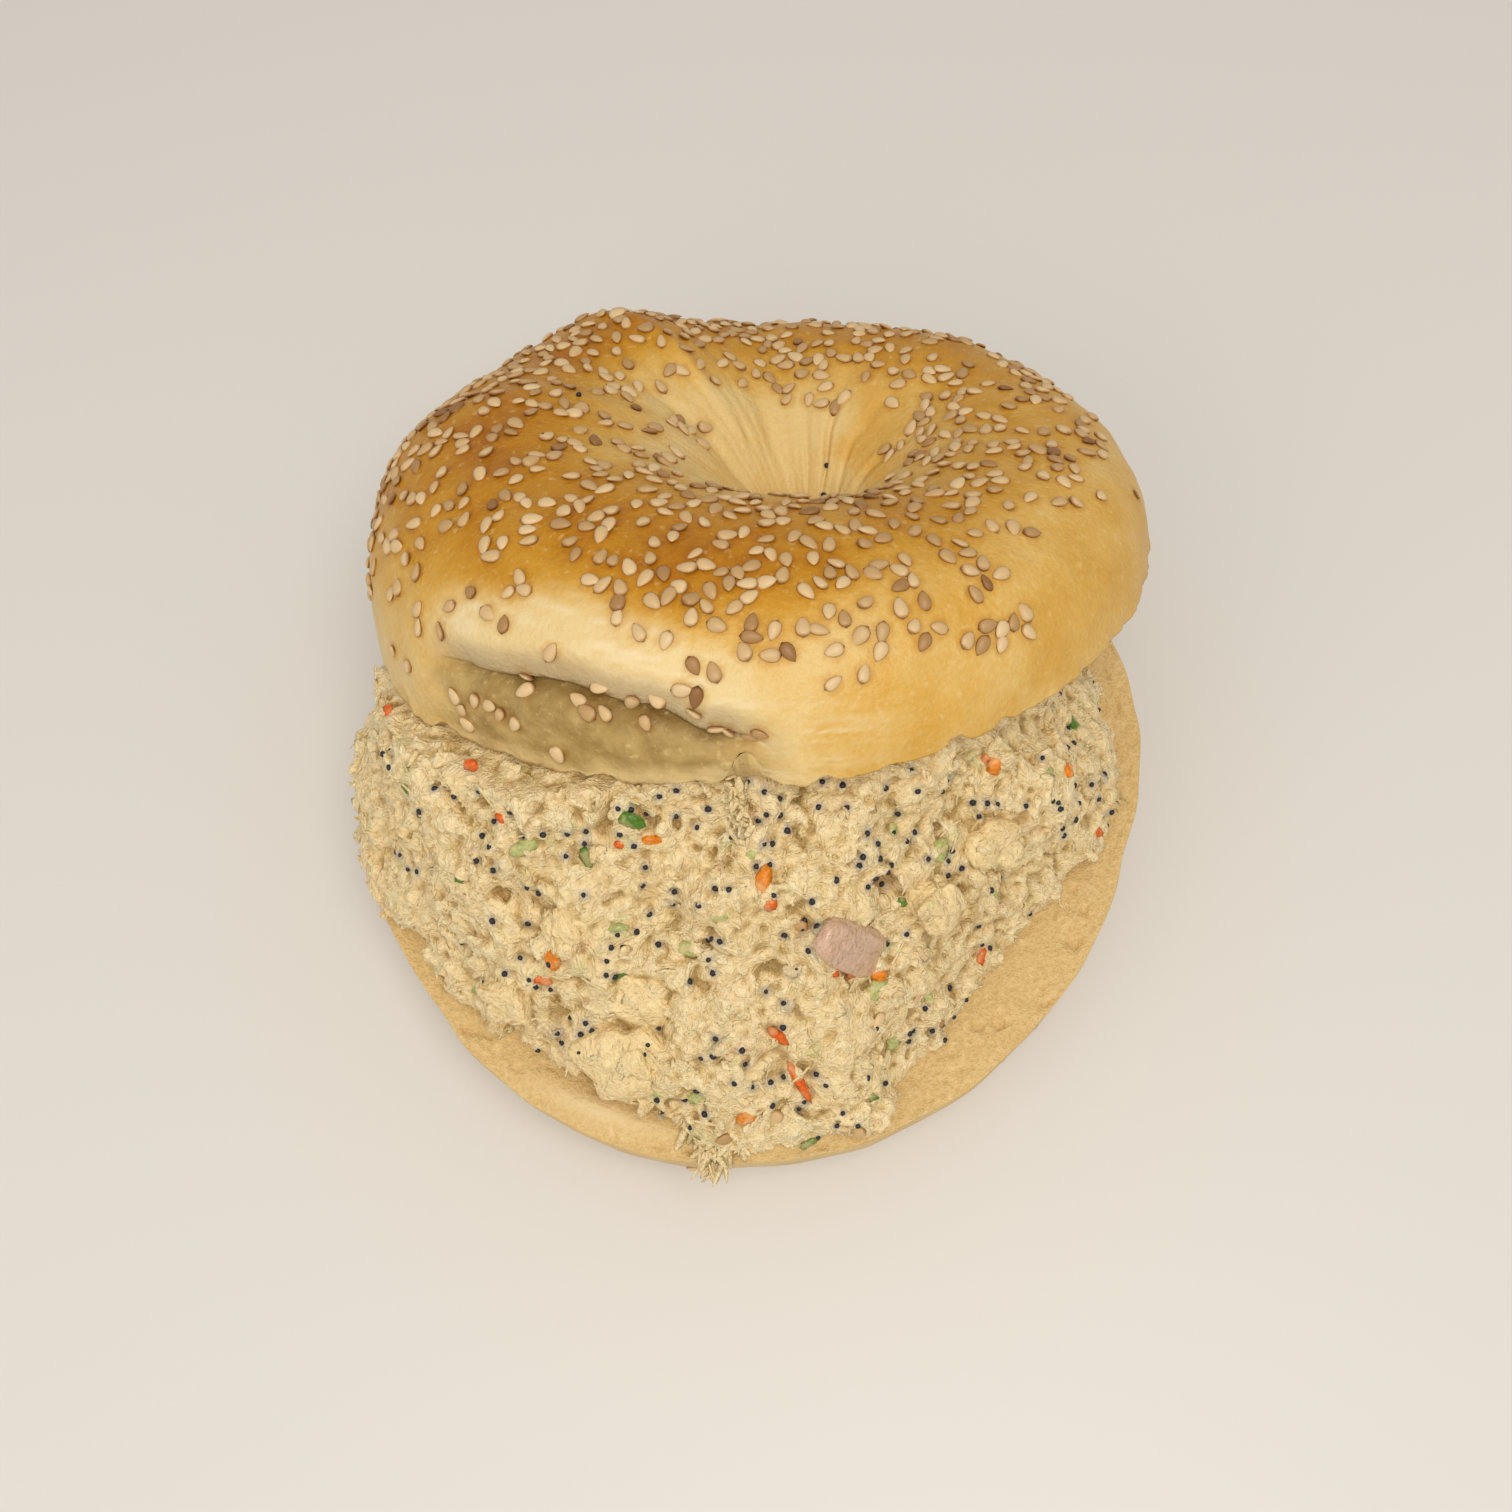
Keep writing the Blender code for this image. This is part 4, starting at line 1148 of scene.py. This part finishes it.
def fish_piece(placed, size, seed, corners=0.3):
    """Points and faces of a large flake of fish: a rounded block with uneven corners and grooves along it."""
    sides, rings = FISH_GRID
    turn = np.arange(sides) * TURN / sides
    tilt = (np.arange(rings) + 0.5) * math.pi / rings
    turn, tilt = np.meshgrid(turn, tilt, indexing="ij")
    way = np.stack([np.sin(tilt) * np.cos(turn), np.sin(tilt) * np.sin(turn), np.cos(tilt)], -1)
    point = np.sign(way) * np.abs(way) ** FISH_BLOCKY
    shift = np.array([seed * 3.1, 1.7, 5.2])
    outline = 1 + corners * (np.abs(np.sin(1.5 * turn + 1.3 * seed)) ** 0.7 - 0.7)
    outline = outline + corners * noise_at(way + shift, 0.8)
    point *= (outline + 0.06 * noise_at(way + shift, 0.25))[..., None]
    groove = noise_at(point * np.array([0.5, 4.0, 1.0]) + shift, 0.42)
    point = point * np.array(size) / 2
    point += way * (0.3 * MM * groove)[..., None]
    caps = [point[:, 0].mean(0), point[:, -1].mean(0)]
    points = moved(np.concatenate([point.reshape(-1, 3), caps]), placed)
    faces = []
    for i in range(sides):
        after = (i + 1) % sides
        faces.append((sides * rings, i * rings, after * rings))
        for j in range(rings - 1):
            faces.append((i * rings + j, i * rings + j + 1, after * rings + j + 1, after * rings + j))
        faces.append((sides * rings + 1, after * rings + rings - 1, i * rings + rings - 1))
    return points, faces


def joined(name, parts, material=None):
    """One object from several closed parts, each given as points and faces."""
    points, faces = [], []
    for part_points, part_faces in parts:
        start = sum(len(some) for some in points)
        points.append(part_points)
        faces += [tuple(start + corner for corner in face) for face in part_faces]
    return mesh_object(name, np.concatenate(points), faces, material=material)


def fish_pieces(surface, material):
    """The large flakes of fish, and the slightly smaller cores that the dressing joins to the heap."""
    pieces, cores = [], []
    for i, (angle, share, *size) in enumerate(LARGE_FLAKES):
        size = Vector(size) * MM
        placed = in_salad(angle, share, math.degrees(-2.4 * i), FLAKE_STEP)
        placed = settled(placed, surface, FLAKE_LIFT * size.z)
        pieces.append(fish_piece(placed, size, i))
        cores.append(fish_piece(placed, FLAKE_CORE * size, i))
    return joined("fish_pieces", pieces, material), joined("fish_cores", cores)


def pink_piece(surface, material):
    angle, share, turn, *size = PINK_PIECE
    size = Vector(size) * MM
    placed = settled(in_salad(angle, share, turn, FLAKE_STEP), surface, PINK_LIFT * size.z)
    return joined("pink_piece", [fish_piece(placed, size, 11, 0.07)], material)


# Small forms.


def long_form(name, half_width, half_thickness, uneven=0.0, bow=0.0, seed=0, grid=FORM_GRID):
    """A closed form 1 long along x, from rings of points whose half sizes follow the share of its length."""
    sides, rings = grid
    points, faces, dark_tip_and_painted_side_shade = [(-0.5, 0, 0)], [], [0.0]
    for ring in range(1, rings):
        along = ring / rings
        for side in range(sides):
            turn = TURN * side / sides
            wide, thick = math.cos(turn) * half_width(along), math.sin(turn) * half_thickness(along)
            push = 1 + uneven * noise.noise((along * 2.5 + seed, math.cos(turn) * 1.3, math.sin(turn) * 1.3))
            points.append((along - 0.5, (wide * push + bow * math.sin(math.pi * along)), thick * push))
            # Darker at the pointed start, and painted shade down the sides below a lighter top.
            dark_tip_and_painted_side_shade.append(min(1.0, along / 0.22) * min(1.0, max(0.0, 0.42 + 0.8 * math.sin(turn))))
    points.append((0.5, 0, 0))
    dark_tip_and_painted_side_shade.append(0.6)
    last = len(points) - 1
    for side in range(sides):
        after = (side + 1) % sides
        faces.append((0, 1 + after, 1 + side))
        for ring in range(rings - 2):
            here, there = 1 + ring * sides, 1 + (ring + 1) * sides
            faces.append((here + side, here + after, there + after, there + side))
        faces.append((last, last - sides + side, last - sides + after))
    return mesh_object(name, points, faces, {"dark_tip_and_painted_side_shade": dark_tip_and_painted_side_shade})


def seed_width(along):
    """Half the width of a sesame seed, pointed at its start and rounded at its end."""
    return 0.5 * math.sin(math.pi * along**0.78) ** 0.7


def round_width(along):
    return 0.5 * math.sqrt(max(0.0, 1 - (2 * along - 1) ** 2))


def blunt_width(along):
    return 0.5 * (1 - abs(2 * along - 1) ** 5)


def torn_width(along):
    return 0.5 * (1 - abs(2 * along - 1) ** 2.6)


def form_set(name, forms):
    """A collection of forms for a scatter."""
    made = bpy.data.collections.new(name)
    bpy.context.scene.collection.children.link(made)
    for form in forms:
        bpy.context.scene.collection.objects.unlink(form)
        made.objects.link(form)
    return made


def fish_forms():
    """The forms of fish for the scatters, five of each: thin flakes, long shreds and round crumbs."""
    return {
        kind: form_set(kind + "_forms", [
            long_form(f"{kind}_{i}", width, thickness, uneven, bow * i - bow_back, seed * i, grid)
            for i in range(5)
        ])
        for kind, width, thickness, uneven, bow, bow_back, seed, grid in (
            ("flake", torn_width, round_width, 0.9, 0.06, 0.0, 3.7, FORM_GRID),
            ("shred", torn_width, torn_width, 0.7, 0.25, 0.5, 5.1, SHRED_GRID),
            ("crumb", round_width, round_width, 1.0, 0.0, 0.0, 2.3, ROUND_GRID),
        )
    }


def drop_forms(forms):
    for collection in forms.values():
        for obj in list(collection.objects):
            bpy.data.objects.remove(obj)
        bpy.data.collections.remove(collection)


# Sesame.


def spread(count, draw, surface):
    """Places on a surface, one after another: each is the best apart of a few drawn at random."""
    chosen, points = [], np.zeros((0, 3))
    while len(chosen) < count:
        places = [draw() for _ in range(4)]
        spots = spots_on(surface, places)
        gaps = np.linalg.norm(spots[:, None] - points[None], axis=-1).min(1, initial=1.0)
        best = int(gaps.argmax())
        if gaps[best] > SEED_APART:
            chosen.append(places[best])
            points = np.vstack([points, spots[best]])
    return chosen


def strewn(places, count, draw, keep, surface, chance):
    """More places after the spread ones, at random: many lie beside one that is there already."""
    chosen = list(places)
    points = spots_on(surface, chosen)
    while len(chosen) < count:
        place = draw()
        if chance.random() < SEEDS_BESIDE:
            theta, phi, _ = chance.choice(chosen)
            place = (theta + chance.gauss(0, 0.06), phi + chance.gauss(0, 0.12), place[2])
            if not keep(place):
                continue
        spot = spots_on(surface, [place])
        if np.linalg.norm(points - spot, axis=-1).min() > SEED_TOUCHING:
            chosen.append(place)
            points = np.vstack([points, spot])
    return chosen


def top_seed_share(theta, phi):
    """How likely a seed is at a place on the top half: most round the ridge, few low in front and right."""
    front = max(0.0, -math.sin(theta))
    right = max(0.0, math.cos(theta))
    low = 18 + 34 * front + 26 * right
    degrees = math.degrees(phi)
    outside = float(smooth_step(low - 12, low + 12, degrees))
    inside = 1 - float(smooth_step(112, 136, degrees + 10 * max(0.0, math.sin(theta))))
    return (0.02 + 0.98 * outside) * inside * (1 - 0.35 * right) * (0.45 + 0.55 * math.sin(phi))


def drawn(chance, low, high):
    """A place anywhere round a ring and between two places across it, with a turn."""
    return (chance.uniform(0, TURN), chance.uniform(low, high), chance.uniform(0, TURN))


def top_seed_places():
    """The seeds of the solid, those of the patches, then the rest, kept off the front seen in the photo."""
    chance, more = random.Random(11), random.Random(12)

    def draw():
        while True:
            place = drawn(chance, *TOP_SEED_ROWS)
            if chance.random() < top_seed_share(*place[:2]):
                return place

    def keep(place):
        degrees, height = float(degrees_of(place[0])), math.degrees(place[1])
        seen = -146 < degrees < -50 and height < 60
        left = 0.6 * float(smooth_step(140, 155, abs(degrees)) * smooth_step(2, 22, height) * (height < 110))
        share = max(left, top_seed_share(*place[:2]))
        return TOP_SEED_ROWS[0] < place[1] < TOP_SEED_ROWS[1] and not seen and more.random() < share

    def draw_more():
        while True:
            place = drawn(more, *TOP_SEED_ROWS)
            if keep(place):
                return place

    places = spread(SEEDS_IN_SOLID, draw, top_crust)
    points = spots_on(top_crust, places)
    for left, right, low, high, count in SEED_PATCHES:
        wanted = len(places) + count
        while len(places) < wanted:
            theta, phi = math.radians(more.uniform(left, right)), math.radians(more.uniform(low, high))
            spot = spots_on(top_crust, [(theta, phi)])
            if np.linalg.norm(points - spot, axis=-1).min() > SEED_TOUCHING:
                places.append((theta, phi, more.uniform(0, TURN)))
                points = np.vstack([points, spot])
    return strewn(places, SEEDS_ON_TOP, draw_more, keep, top_crust, more)


def lower_seed_places():
    chance, more = random.Random(5), random.Random(6)

    def draw():
        return drawn(chance, 0.22, 0.62)

    def keep(place):
        return 0.2 < place[1] < 0.8

    return strewn(spread(LOWER_IN_SOLID, draw, lower_crust), SEEDS_ON_LOWER, draw, keep, lower_crust, more)


def seed_frames(frames, surface, solid_count):
    """Sesame seeds settled on a finished surface: the first are those of the solid, the largest first."""
    chance = random.Random(3)
    seeds = []
    for i, placed in enumerate(frames):
        share = i / (solid_count - 1) if i < solid_count else chance.random()
        size = SEED_SIZE * (SEED_LARGEST + (SEED_SMALLEST - SEED_LARGEST) * share)
        size = Vector((size.x * chance.uniform(0.92, 1.08), size.y * chance.uniform(0.9, 1.1), size.z))
        tip = Matrix.Rotation(math.radians(chance.gauss(0, 7)), 4, "Y")
        tip @= Matrix.Rotation(math.radians(chance.gauss(0, 9)), 4, "X")
        seeds.append((settled(placed, surface, 0.16 * size.z) @ tip, size, chance.random() ** 1.4))
    return seeds


# What lays and scatters the small forms.


def named(tree, name, kind="FLOAT_VECTOR"):
    node = add_node(tree, "GeometryNodeInputNamedAttribute", {"Name": name}, data_type=kind)
    return node.outputs["Attribute"]


def axes(tree, *values):
    return add_node(tree, "ShaderNodeCombineXYZ", dict(enumerate(values))).outputs[0]


def random_between(tree, low, high, seed):
    values = {0: low, 1: high, "Seed": seed}
    return add_node(tree, "FunctionNodeRandomValue", values, data_type="FLOAT_VECTOR").outputs[0]


def realized(tree, instances, material, result):
    """The end of a tree: instances made real, in a material."""
    real = add_node(tree, "GeometryNodeRealizeInstances", {"Geometry": instances}).outputs[0]
    done = add_node(tree, "GeometryNodeSetMaterial", {"Geometry": real, "Material": material})
    tree.links.new(done.outputs[0], result["Geometry"])
    return tree


def lay_tree():
    """Geometry nodes that lay one form on every point, by the point's own turn and size."""
    tree, given, result = new_group(
        "lay on points", "GeometryNodeTree",
        {"Geometry": ("Geometry", None), "Form": ("Object", None), "Material": ("Material", None)},
        {"Geometry": "Geometry"},
    )
    form = add_node(tree, "GeometryNodeObjectInfo", {"Object": given["Form"]}).outputs["Geometry"]
    laid = add_node(
        tree, "GeometryNodeInstanceOnPoints",
        {"Points": given["Geometry"], "Instance": form, "Rotation": named(tree, "turn"),
         "Scale": named(tree, "size")},
    )
    return realized(tree, laid.outputs[0], given["Material"], result)


def scatter_tree():
    """Geometry nodes that scatter forms over a surface, each tipped, turned and sized at random."""
    tree, given, result = new_group(
        "scatter on surface", "GeometryNodeTree",
        {"Geometry": ("Geometry", None), "Forms": ("Collection", None), "Material": ("Material", None),
         "Apart": ("Float", 1 * MM), "Per Square Metre": ("Float", 1e5), "Smallest": ("Vector", (MM,) * 3),
         "Largest": ("Vector", (2 * MM,) * 3), "Tip": ("Float", 0.5), "Sink": ("Float", 0.0),
         "Seed": ("Int", 1)},
        {"Geometry": "Geometry"},
    )
    seed = given["Seed"]
    points = add_node(
        tree, "GeometryNodeDistributePointsOnFaces",
        {"Mesh": given["Geometry"], "Distance Min": given["Apart"], "Density Max": given["Per Square Metre"],
         "Density Factor": named(tree, "open", "FLOAT"), "Seed": seed},
        distribute_method="POISSON",
    )
    tip, back = given["Tip"], maths(tree, "MULTIPLY", given["Tip"], -1.0)
    tipped = random_between(tree, axes(tree, back, back, 0.0), axes(tree, tip, tip, TURN), seed)
    turn = add_node(
        tree, "FunctionNodeRotateRotation", {"Rotation": points.outputs["Rotation"], "Rotate By": tipped},
        rotation_space="LOCAL",
    ).outputs[0]
    forms = add_node(
        tree, "GeometryNodeCollectionInfo",
        {"Collection": given["Forms"], "Separate Children": True, "Reset Children": True},
    ).outputs[0]
    laid = add_node(
        tree, "GeometryNodeInstanceOnPoints",
        {"Points": points.outputs["Points"], "Instance": forms, "Pick Instance": True, "Rotation": turn,
         "Scale": random_between(tree, given["Smallest"], given["Largest"], seed)},
    ).outputs[0]
    down = axes(tree, 0.0, 0.0, maths(tree, "MULTIPLY", given["Sink"], -1.0))
    sunk = add_node(
        tree, "GeometryNodeTranslateInstances", {"Instances": laid, "Translation": down, "Local Space": True}
    ).outputs[0]
    chance = add_node(tree, "FunctionNodeRandomValue", {"Seed": seed}, data_type="FLOAT").outputs[1]
    tinted = add_node(
        tree, "GeometryNodeStoreNamedAttribute", {"Geometry": sunk, "Name": "tint", "Value": chance},
        data_type="FLOAT", domain="INSTANCE",
    ).outputs[0]
    return realized(tree, tinted, given["Material"], result)


def run_tree(name, start, tree, values):
    """A plain mesh object made by a node tree from a starting object."""
    modifier = start.modifiers.new("shape", "NODES")
    modifier.node_group = tree
    for item in tree.interface.items_tree:
        if item.in_out == "INPUT" and values.get(item.name) is not None:
            modifier[item.identifier] = values[item.name]
    return in_scene(name, finished(start))


def lay_pieces(name, frames, form, tree, material):
    """A form laid in every frame, joined to one mesh."""
    placed, sizes, tints = zip(*frames)
    start = mesh_object(name + "_points", [there.translation for there in placed], [], {"tint": tints})
    turns = [there.to_euler() for there in placed]
    add_attributes(start.data, {"turn": turns, "size": sizes}, "FLOAT_VECTOR", "vector")
    obj = run_tree(name, start, tree, {"Form": form, "Material": material})
    bpy.data.objects.remove(start)
    return obj


def scattered(name, start, forms, tree, material=None):
    """One of the table's scatters over a mesh, joined to one mesh."""
    kind, apart, amount, tip, sink, seed, smallest, largest = SCATTERS[name]
    return run_tree(name, start, tree, {
        "Forms": forms[kind], "Material": material, "Apart": apart * MM, "Per Square Metre": amount,
        "Tip": tip, "Sink": sink, "Seed": seed, "Smallest": [part * MM for part in smallest],
        "Largest": [part * MM for part in largest],
    })


def bit_pieces(surface, lay, finishes):
    """The bits of vegetable, one piece for each kind."""
    blunt = long_form("bit_form", blunt_width, blunt_width, 0.7, 0.0, 1.3, ROUND_GRID)
    pieces = []
    for kind, bits in BITS.items():
        frames = []
        for i, (angle, share, turn, *size) in enumerate(bits):
            size = Vector(size) * MM
            sink = CELERY_SINK if kind == "celery" else BIT_SINK
            placed = settled(in_salad(angle, share, turn), surface, -sink * size.z)
            frames.append((placed, size, (i * 0.37) % 1))
        pieces.append(lay_pieces(kind + "_bits", frames, blunt, lay, finishes[kind]))
    bpy.data.objects.remove(blunt)
    return pieces


def tip_frames():
    """The ragged tip: shreds that point out and down over the front edge."""
    chance = random.Random(21)
    frames = []
    for _ in range(TIP_PIECES):
        out = chance.random() ** 1.3
        angle = math.radians(TIP_AT + chance.gauss(0, TIP_SPREAD) * (1.4 - out))
        theta = np.array([angle])
        reach = between_marks(HEAP_REACH, degrees_of(theta))[0] - 2 * MM + out * 6 * MM
        place = compass(theta)[0] * reach
        place[2] = float(lower_cut(place)) + (3.2 - 3.4 * out) * MM + chance.uniform(-0.6, 0.9) * MM
        placed = Matrix.Translation(Vector(place) - MIDDLE)
        placed @= Matrix.Rotation(angle + chance.gauss(0, 0.5), 4, "Z")
        placed @= Matrix.Rotation(0.5 + chance.gauss(0, 0.35), 4, "Y")
        size = Vector((chance.uniform(2.5, 5.5), chance.uniform(0.6, 1.6), chance.uniform(0.5, 1.0))) * MM
        size *= 1.1 - 0.4 * out
        frames.append((placed, size, chance.random()))
    return frames


def tuft_frames(surface):
    """The tuft of salad in the notch of the top half's edge: shreds heaped on one another."""
    chance = random.Random(8)
    frames = []
    for _ in range(TUFT_PIECES):
        angle, share = TUFT_AT[0] + chance.gauss(0, 1.5), TUFT_AT[1] + chance.gauss(0, 0.035)
        placed = settled(in_salad(angle, share, chance.gauss(90, 35)), surface, chance.uniform(0, 1.8) * MM)
        placed = placed @ Matrix.Rotation(chance.gauss(0, 0.5), 4, "Y")
        size = Vector((chance.uniform(2.2, 4.2), chance.uniform(0.5, 1.3), chance.uniform(0.5, 0.9))) * MM
        frames.append((placed, size, chance.random()))
    return frames


# The scene.


def place_camera():
    camera = bpy.data.cameras.new("camera")
    camera.sensor_width = FILM_WIDTH
    camera.lens = FILM_WIDTH * FOCAL_LENGTH / PHOTO_WIDTH
    camera.clip_start, camera.clip_end = 0.01, 20.0
    obj = in_scene("camera", camera)
    away = CAMERA_RIGHT.cross(-CAMERA_DOWN)
    turn = Matrix((CAMERA_RIGHT, -CAMERA_DOWN, away)).transposed().to_4x4()
    obj.matrix_world = Matrix.Translation(CAMERA_PLACE - MIDDLE) @ turn
    bpy.context.scene.camera = obj


def area_light(name, place, size, power, colour):
    light = bpy.data.lights.new(name, "AREA")
    light.shape, light.size = "DISK", size
    light.energy, light.color = power, colour
    obj = in_scene(name, light)
    obj.location = place
    obj.rotation_euler = (LIT - Vector(place)).to_track_quat("-Z", "Y").to_euler()


def studio():
    """Warm soft light from above and in front, a pale floor and an even pale sky."""
    signs = ((-1, -1), (1, -1), (1, 1), (-1, 1))
    corners = [(x * FLOOR_REACH, y * FLOOR_REACH, FLOOR_LEVEL) for x, y in signs]
    pale = plain_material("floor", (0.72, 0.705, 0.68), 0.5)
    floor = mesh_object("floor", corners, [(0, 1, 2, 3)], material=pale)
    world = bpy.data.worlds.new("sky")
    world.use_nodes = True
    sky = world.node_tree.nodes["Background"].inputs
    sky["Color"].default_value, sky["Strength"].default_value = (1.0, 0.96, 0.9, 1), 0.5
    bpy.context.scene.world = world
    for light in LIGHTS:
        area_light(*light)
    bpy.context.scene.view_settings.view_transform = "Standard"


def main():
    groups = {"mottle": mottle_group(), "crumb": crumb_group(), "strands": strand_group()}
    top_finish = crust_material("glazed_crust", groups, TOP_TONES, 0.33)
    lower_finish = crust_material("pale_crust", groups, LOWER_TONES, 0.42)
    sesame = seed_material()
    pink = salad_material("pink_flesh", groups, PINK_TONES, 6 * MM, 0.9 * MM)
    wet = pink.node_tree.nodes["Principled BSDF"].inputs
    wet["Coat Weight"].default_value, wet["Coat Roughness"].default_value = 0.8, 0.12
    finishes = {
        "salad": salad_material("flaked_salad", groups, SALAD_TONES, 3.5 * MM, 0.4 * MM),
        "orange": bit_material("carrot", groups, (0.92, 0.27, 0.006), 0.4),
        "red": bit_material("pepper", groups, (0.87, 0.15, 0.01), 0.35),
        "green": bit_material("leaf", groups, (0.1, 0.24, 0.02), 0.4),
        "celery": bit_material("celery", groups, (0.56, 0.58, 0.22), 0.75, Subsurface_Weight=0.4),
    }
    salad = finishes["salad"]
    poppy = plain_material("poppy", (0.012, 0.011, 0.02), 0.4)

    top_places, lower_places = top_seed_places(), lower_seed_places()
    poppies = [in_salad(*place) for place in poppy_places()]

    top = top_half(top_finish, spots_on(top_crust, top_places))
    lower = lower_half(lower_finish)
    forms, scatter, lay = fish_forms(), scatter_tree(), lay_tree()
    mass = heap_mass()
    fish, cores = fish_pieces(surface_of(mass), salad_material("fish", groups, FISH_TONES, 9 * MM, 0.6 * MM))
    flakes = [scattered(name, mass, forms, scatter) for name in ("flakes", "crumbs")]
    core = salad_core(mass, flakes, cores, [placed.translation for placed in poppies], salad)
    on_top, on_lower, on_salad = surface_of(top), surface_of(lower), surface_of(core)

    seed = long_form("seed_form", seed_width, seed_width, grid=SEED_GRID)
    to_middle = Matrix.Translation(-MIDDLE)
    above = [top_pose() @ lying_on(top_crust, *place) for place in top_places]
    below = [to_middle @ lying_on(lower_side, theta, -phi, turn) for theta, phi, turn in lower_places]
    fallen = [in_salad(*place) for place in SEEDS_IN_SALAD]
    top_seeds, lower_seeds, salad_seeds = (
        lay_pieces(name, seed_frames(frames, surface, count), seed, lay, sesame)
        for name, frames, surface, count in (
            ("top_seeds", above, on_top, SEEDS_IN_SOLID), ("lower_seeds", below, on_lower, LOWER_IN_SOLID),
            ("salad_seeds", fallen, on_salad, 0),
        )
    )
    grain = long_form("poppy_form", round_width, round_width, 0.3, 0.08, 1.0, POPPY_GRID)
    frames = []
    for i, placed in enumerate(poppies):
        lift = (0.3 * (i * 0.37 % 1) - 0.08) * POPPY_SIZE.z
        frames.append((settled(placed, on_salad, lift), POPPY_SIZE * (0.8 + 0.3 * (i * 0.61 % 1)), 0.0))
    for angle, place in POPPIES_ON_TOP:
        placed = top_pose() @ lying_on(top_crust, math.radians(angle), math.radians(place), 0.0)
        frames.append((settled(placed, on_top, 0.3 * POPPY_SIZE.z), POPPY_SIZE, 0.0))
    poppy_seeds = lay_pieces("poppy_seeds", frames, grain, lay, poppy)
    bpy.data.objects.remove(seed)
    bpy.data.objects.remove(grain)

    in_heap = [salad_seeds, poppy_seeds, fish, pink_piece(on_salad, pink)]
    for name in ("fish_flakes", "fish_shreds", "fish_crumbs"):
        in_heap.append(scattered(name, core, forms, scatter, salad))
    loose = tip_frames() + tuft_frames(on_salad)
    in_heap.append(lay_pieces("ragged_tip", loose, forms["shred"].objects[2], lay, salad))
    in_heap += bit_pieces(on_salad, lay, finishes)
    drop_forms(forms)

    for piece, node, slot in (
        (top, "bagel_top", "top_crust"), (lower, "bagel_lower", "lower_crust"), (core, "tuna_salad", "salad"),
    ):
        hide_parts(node)
        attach(piece, "root")
    for pieces, slot in (([top_seeds], "top_crust"), ([lower_seeds], "lower_crust"), (in_heap, "salad")):
        for piece in pieces:
            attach(piece, "root")

    place_camera()
    studio()


main()
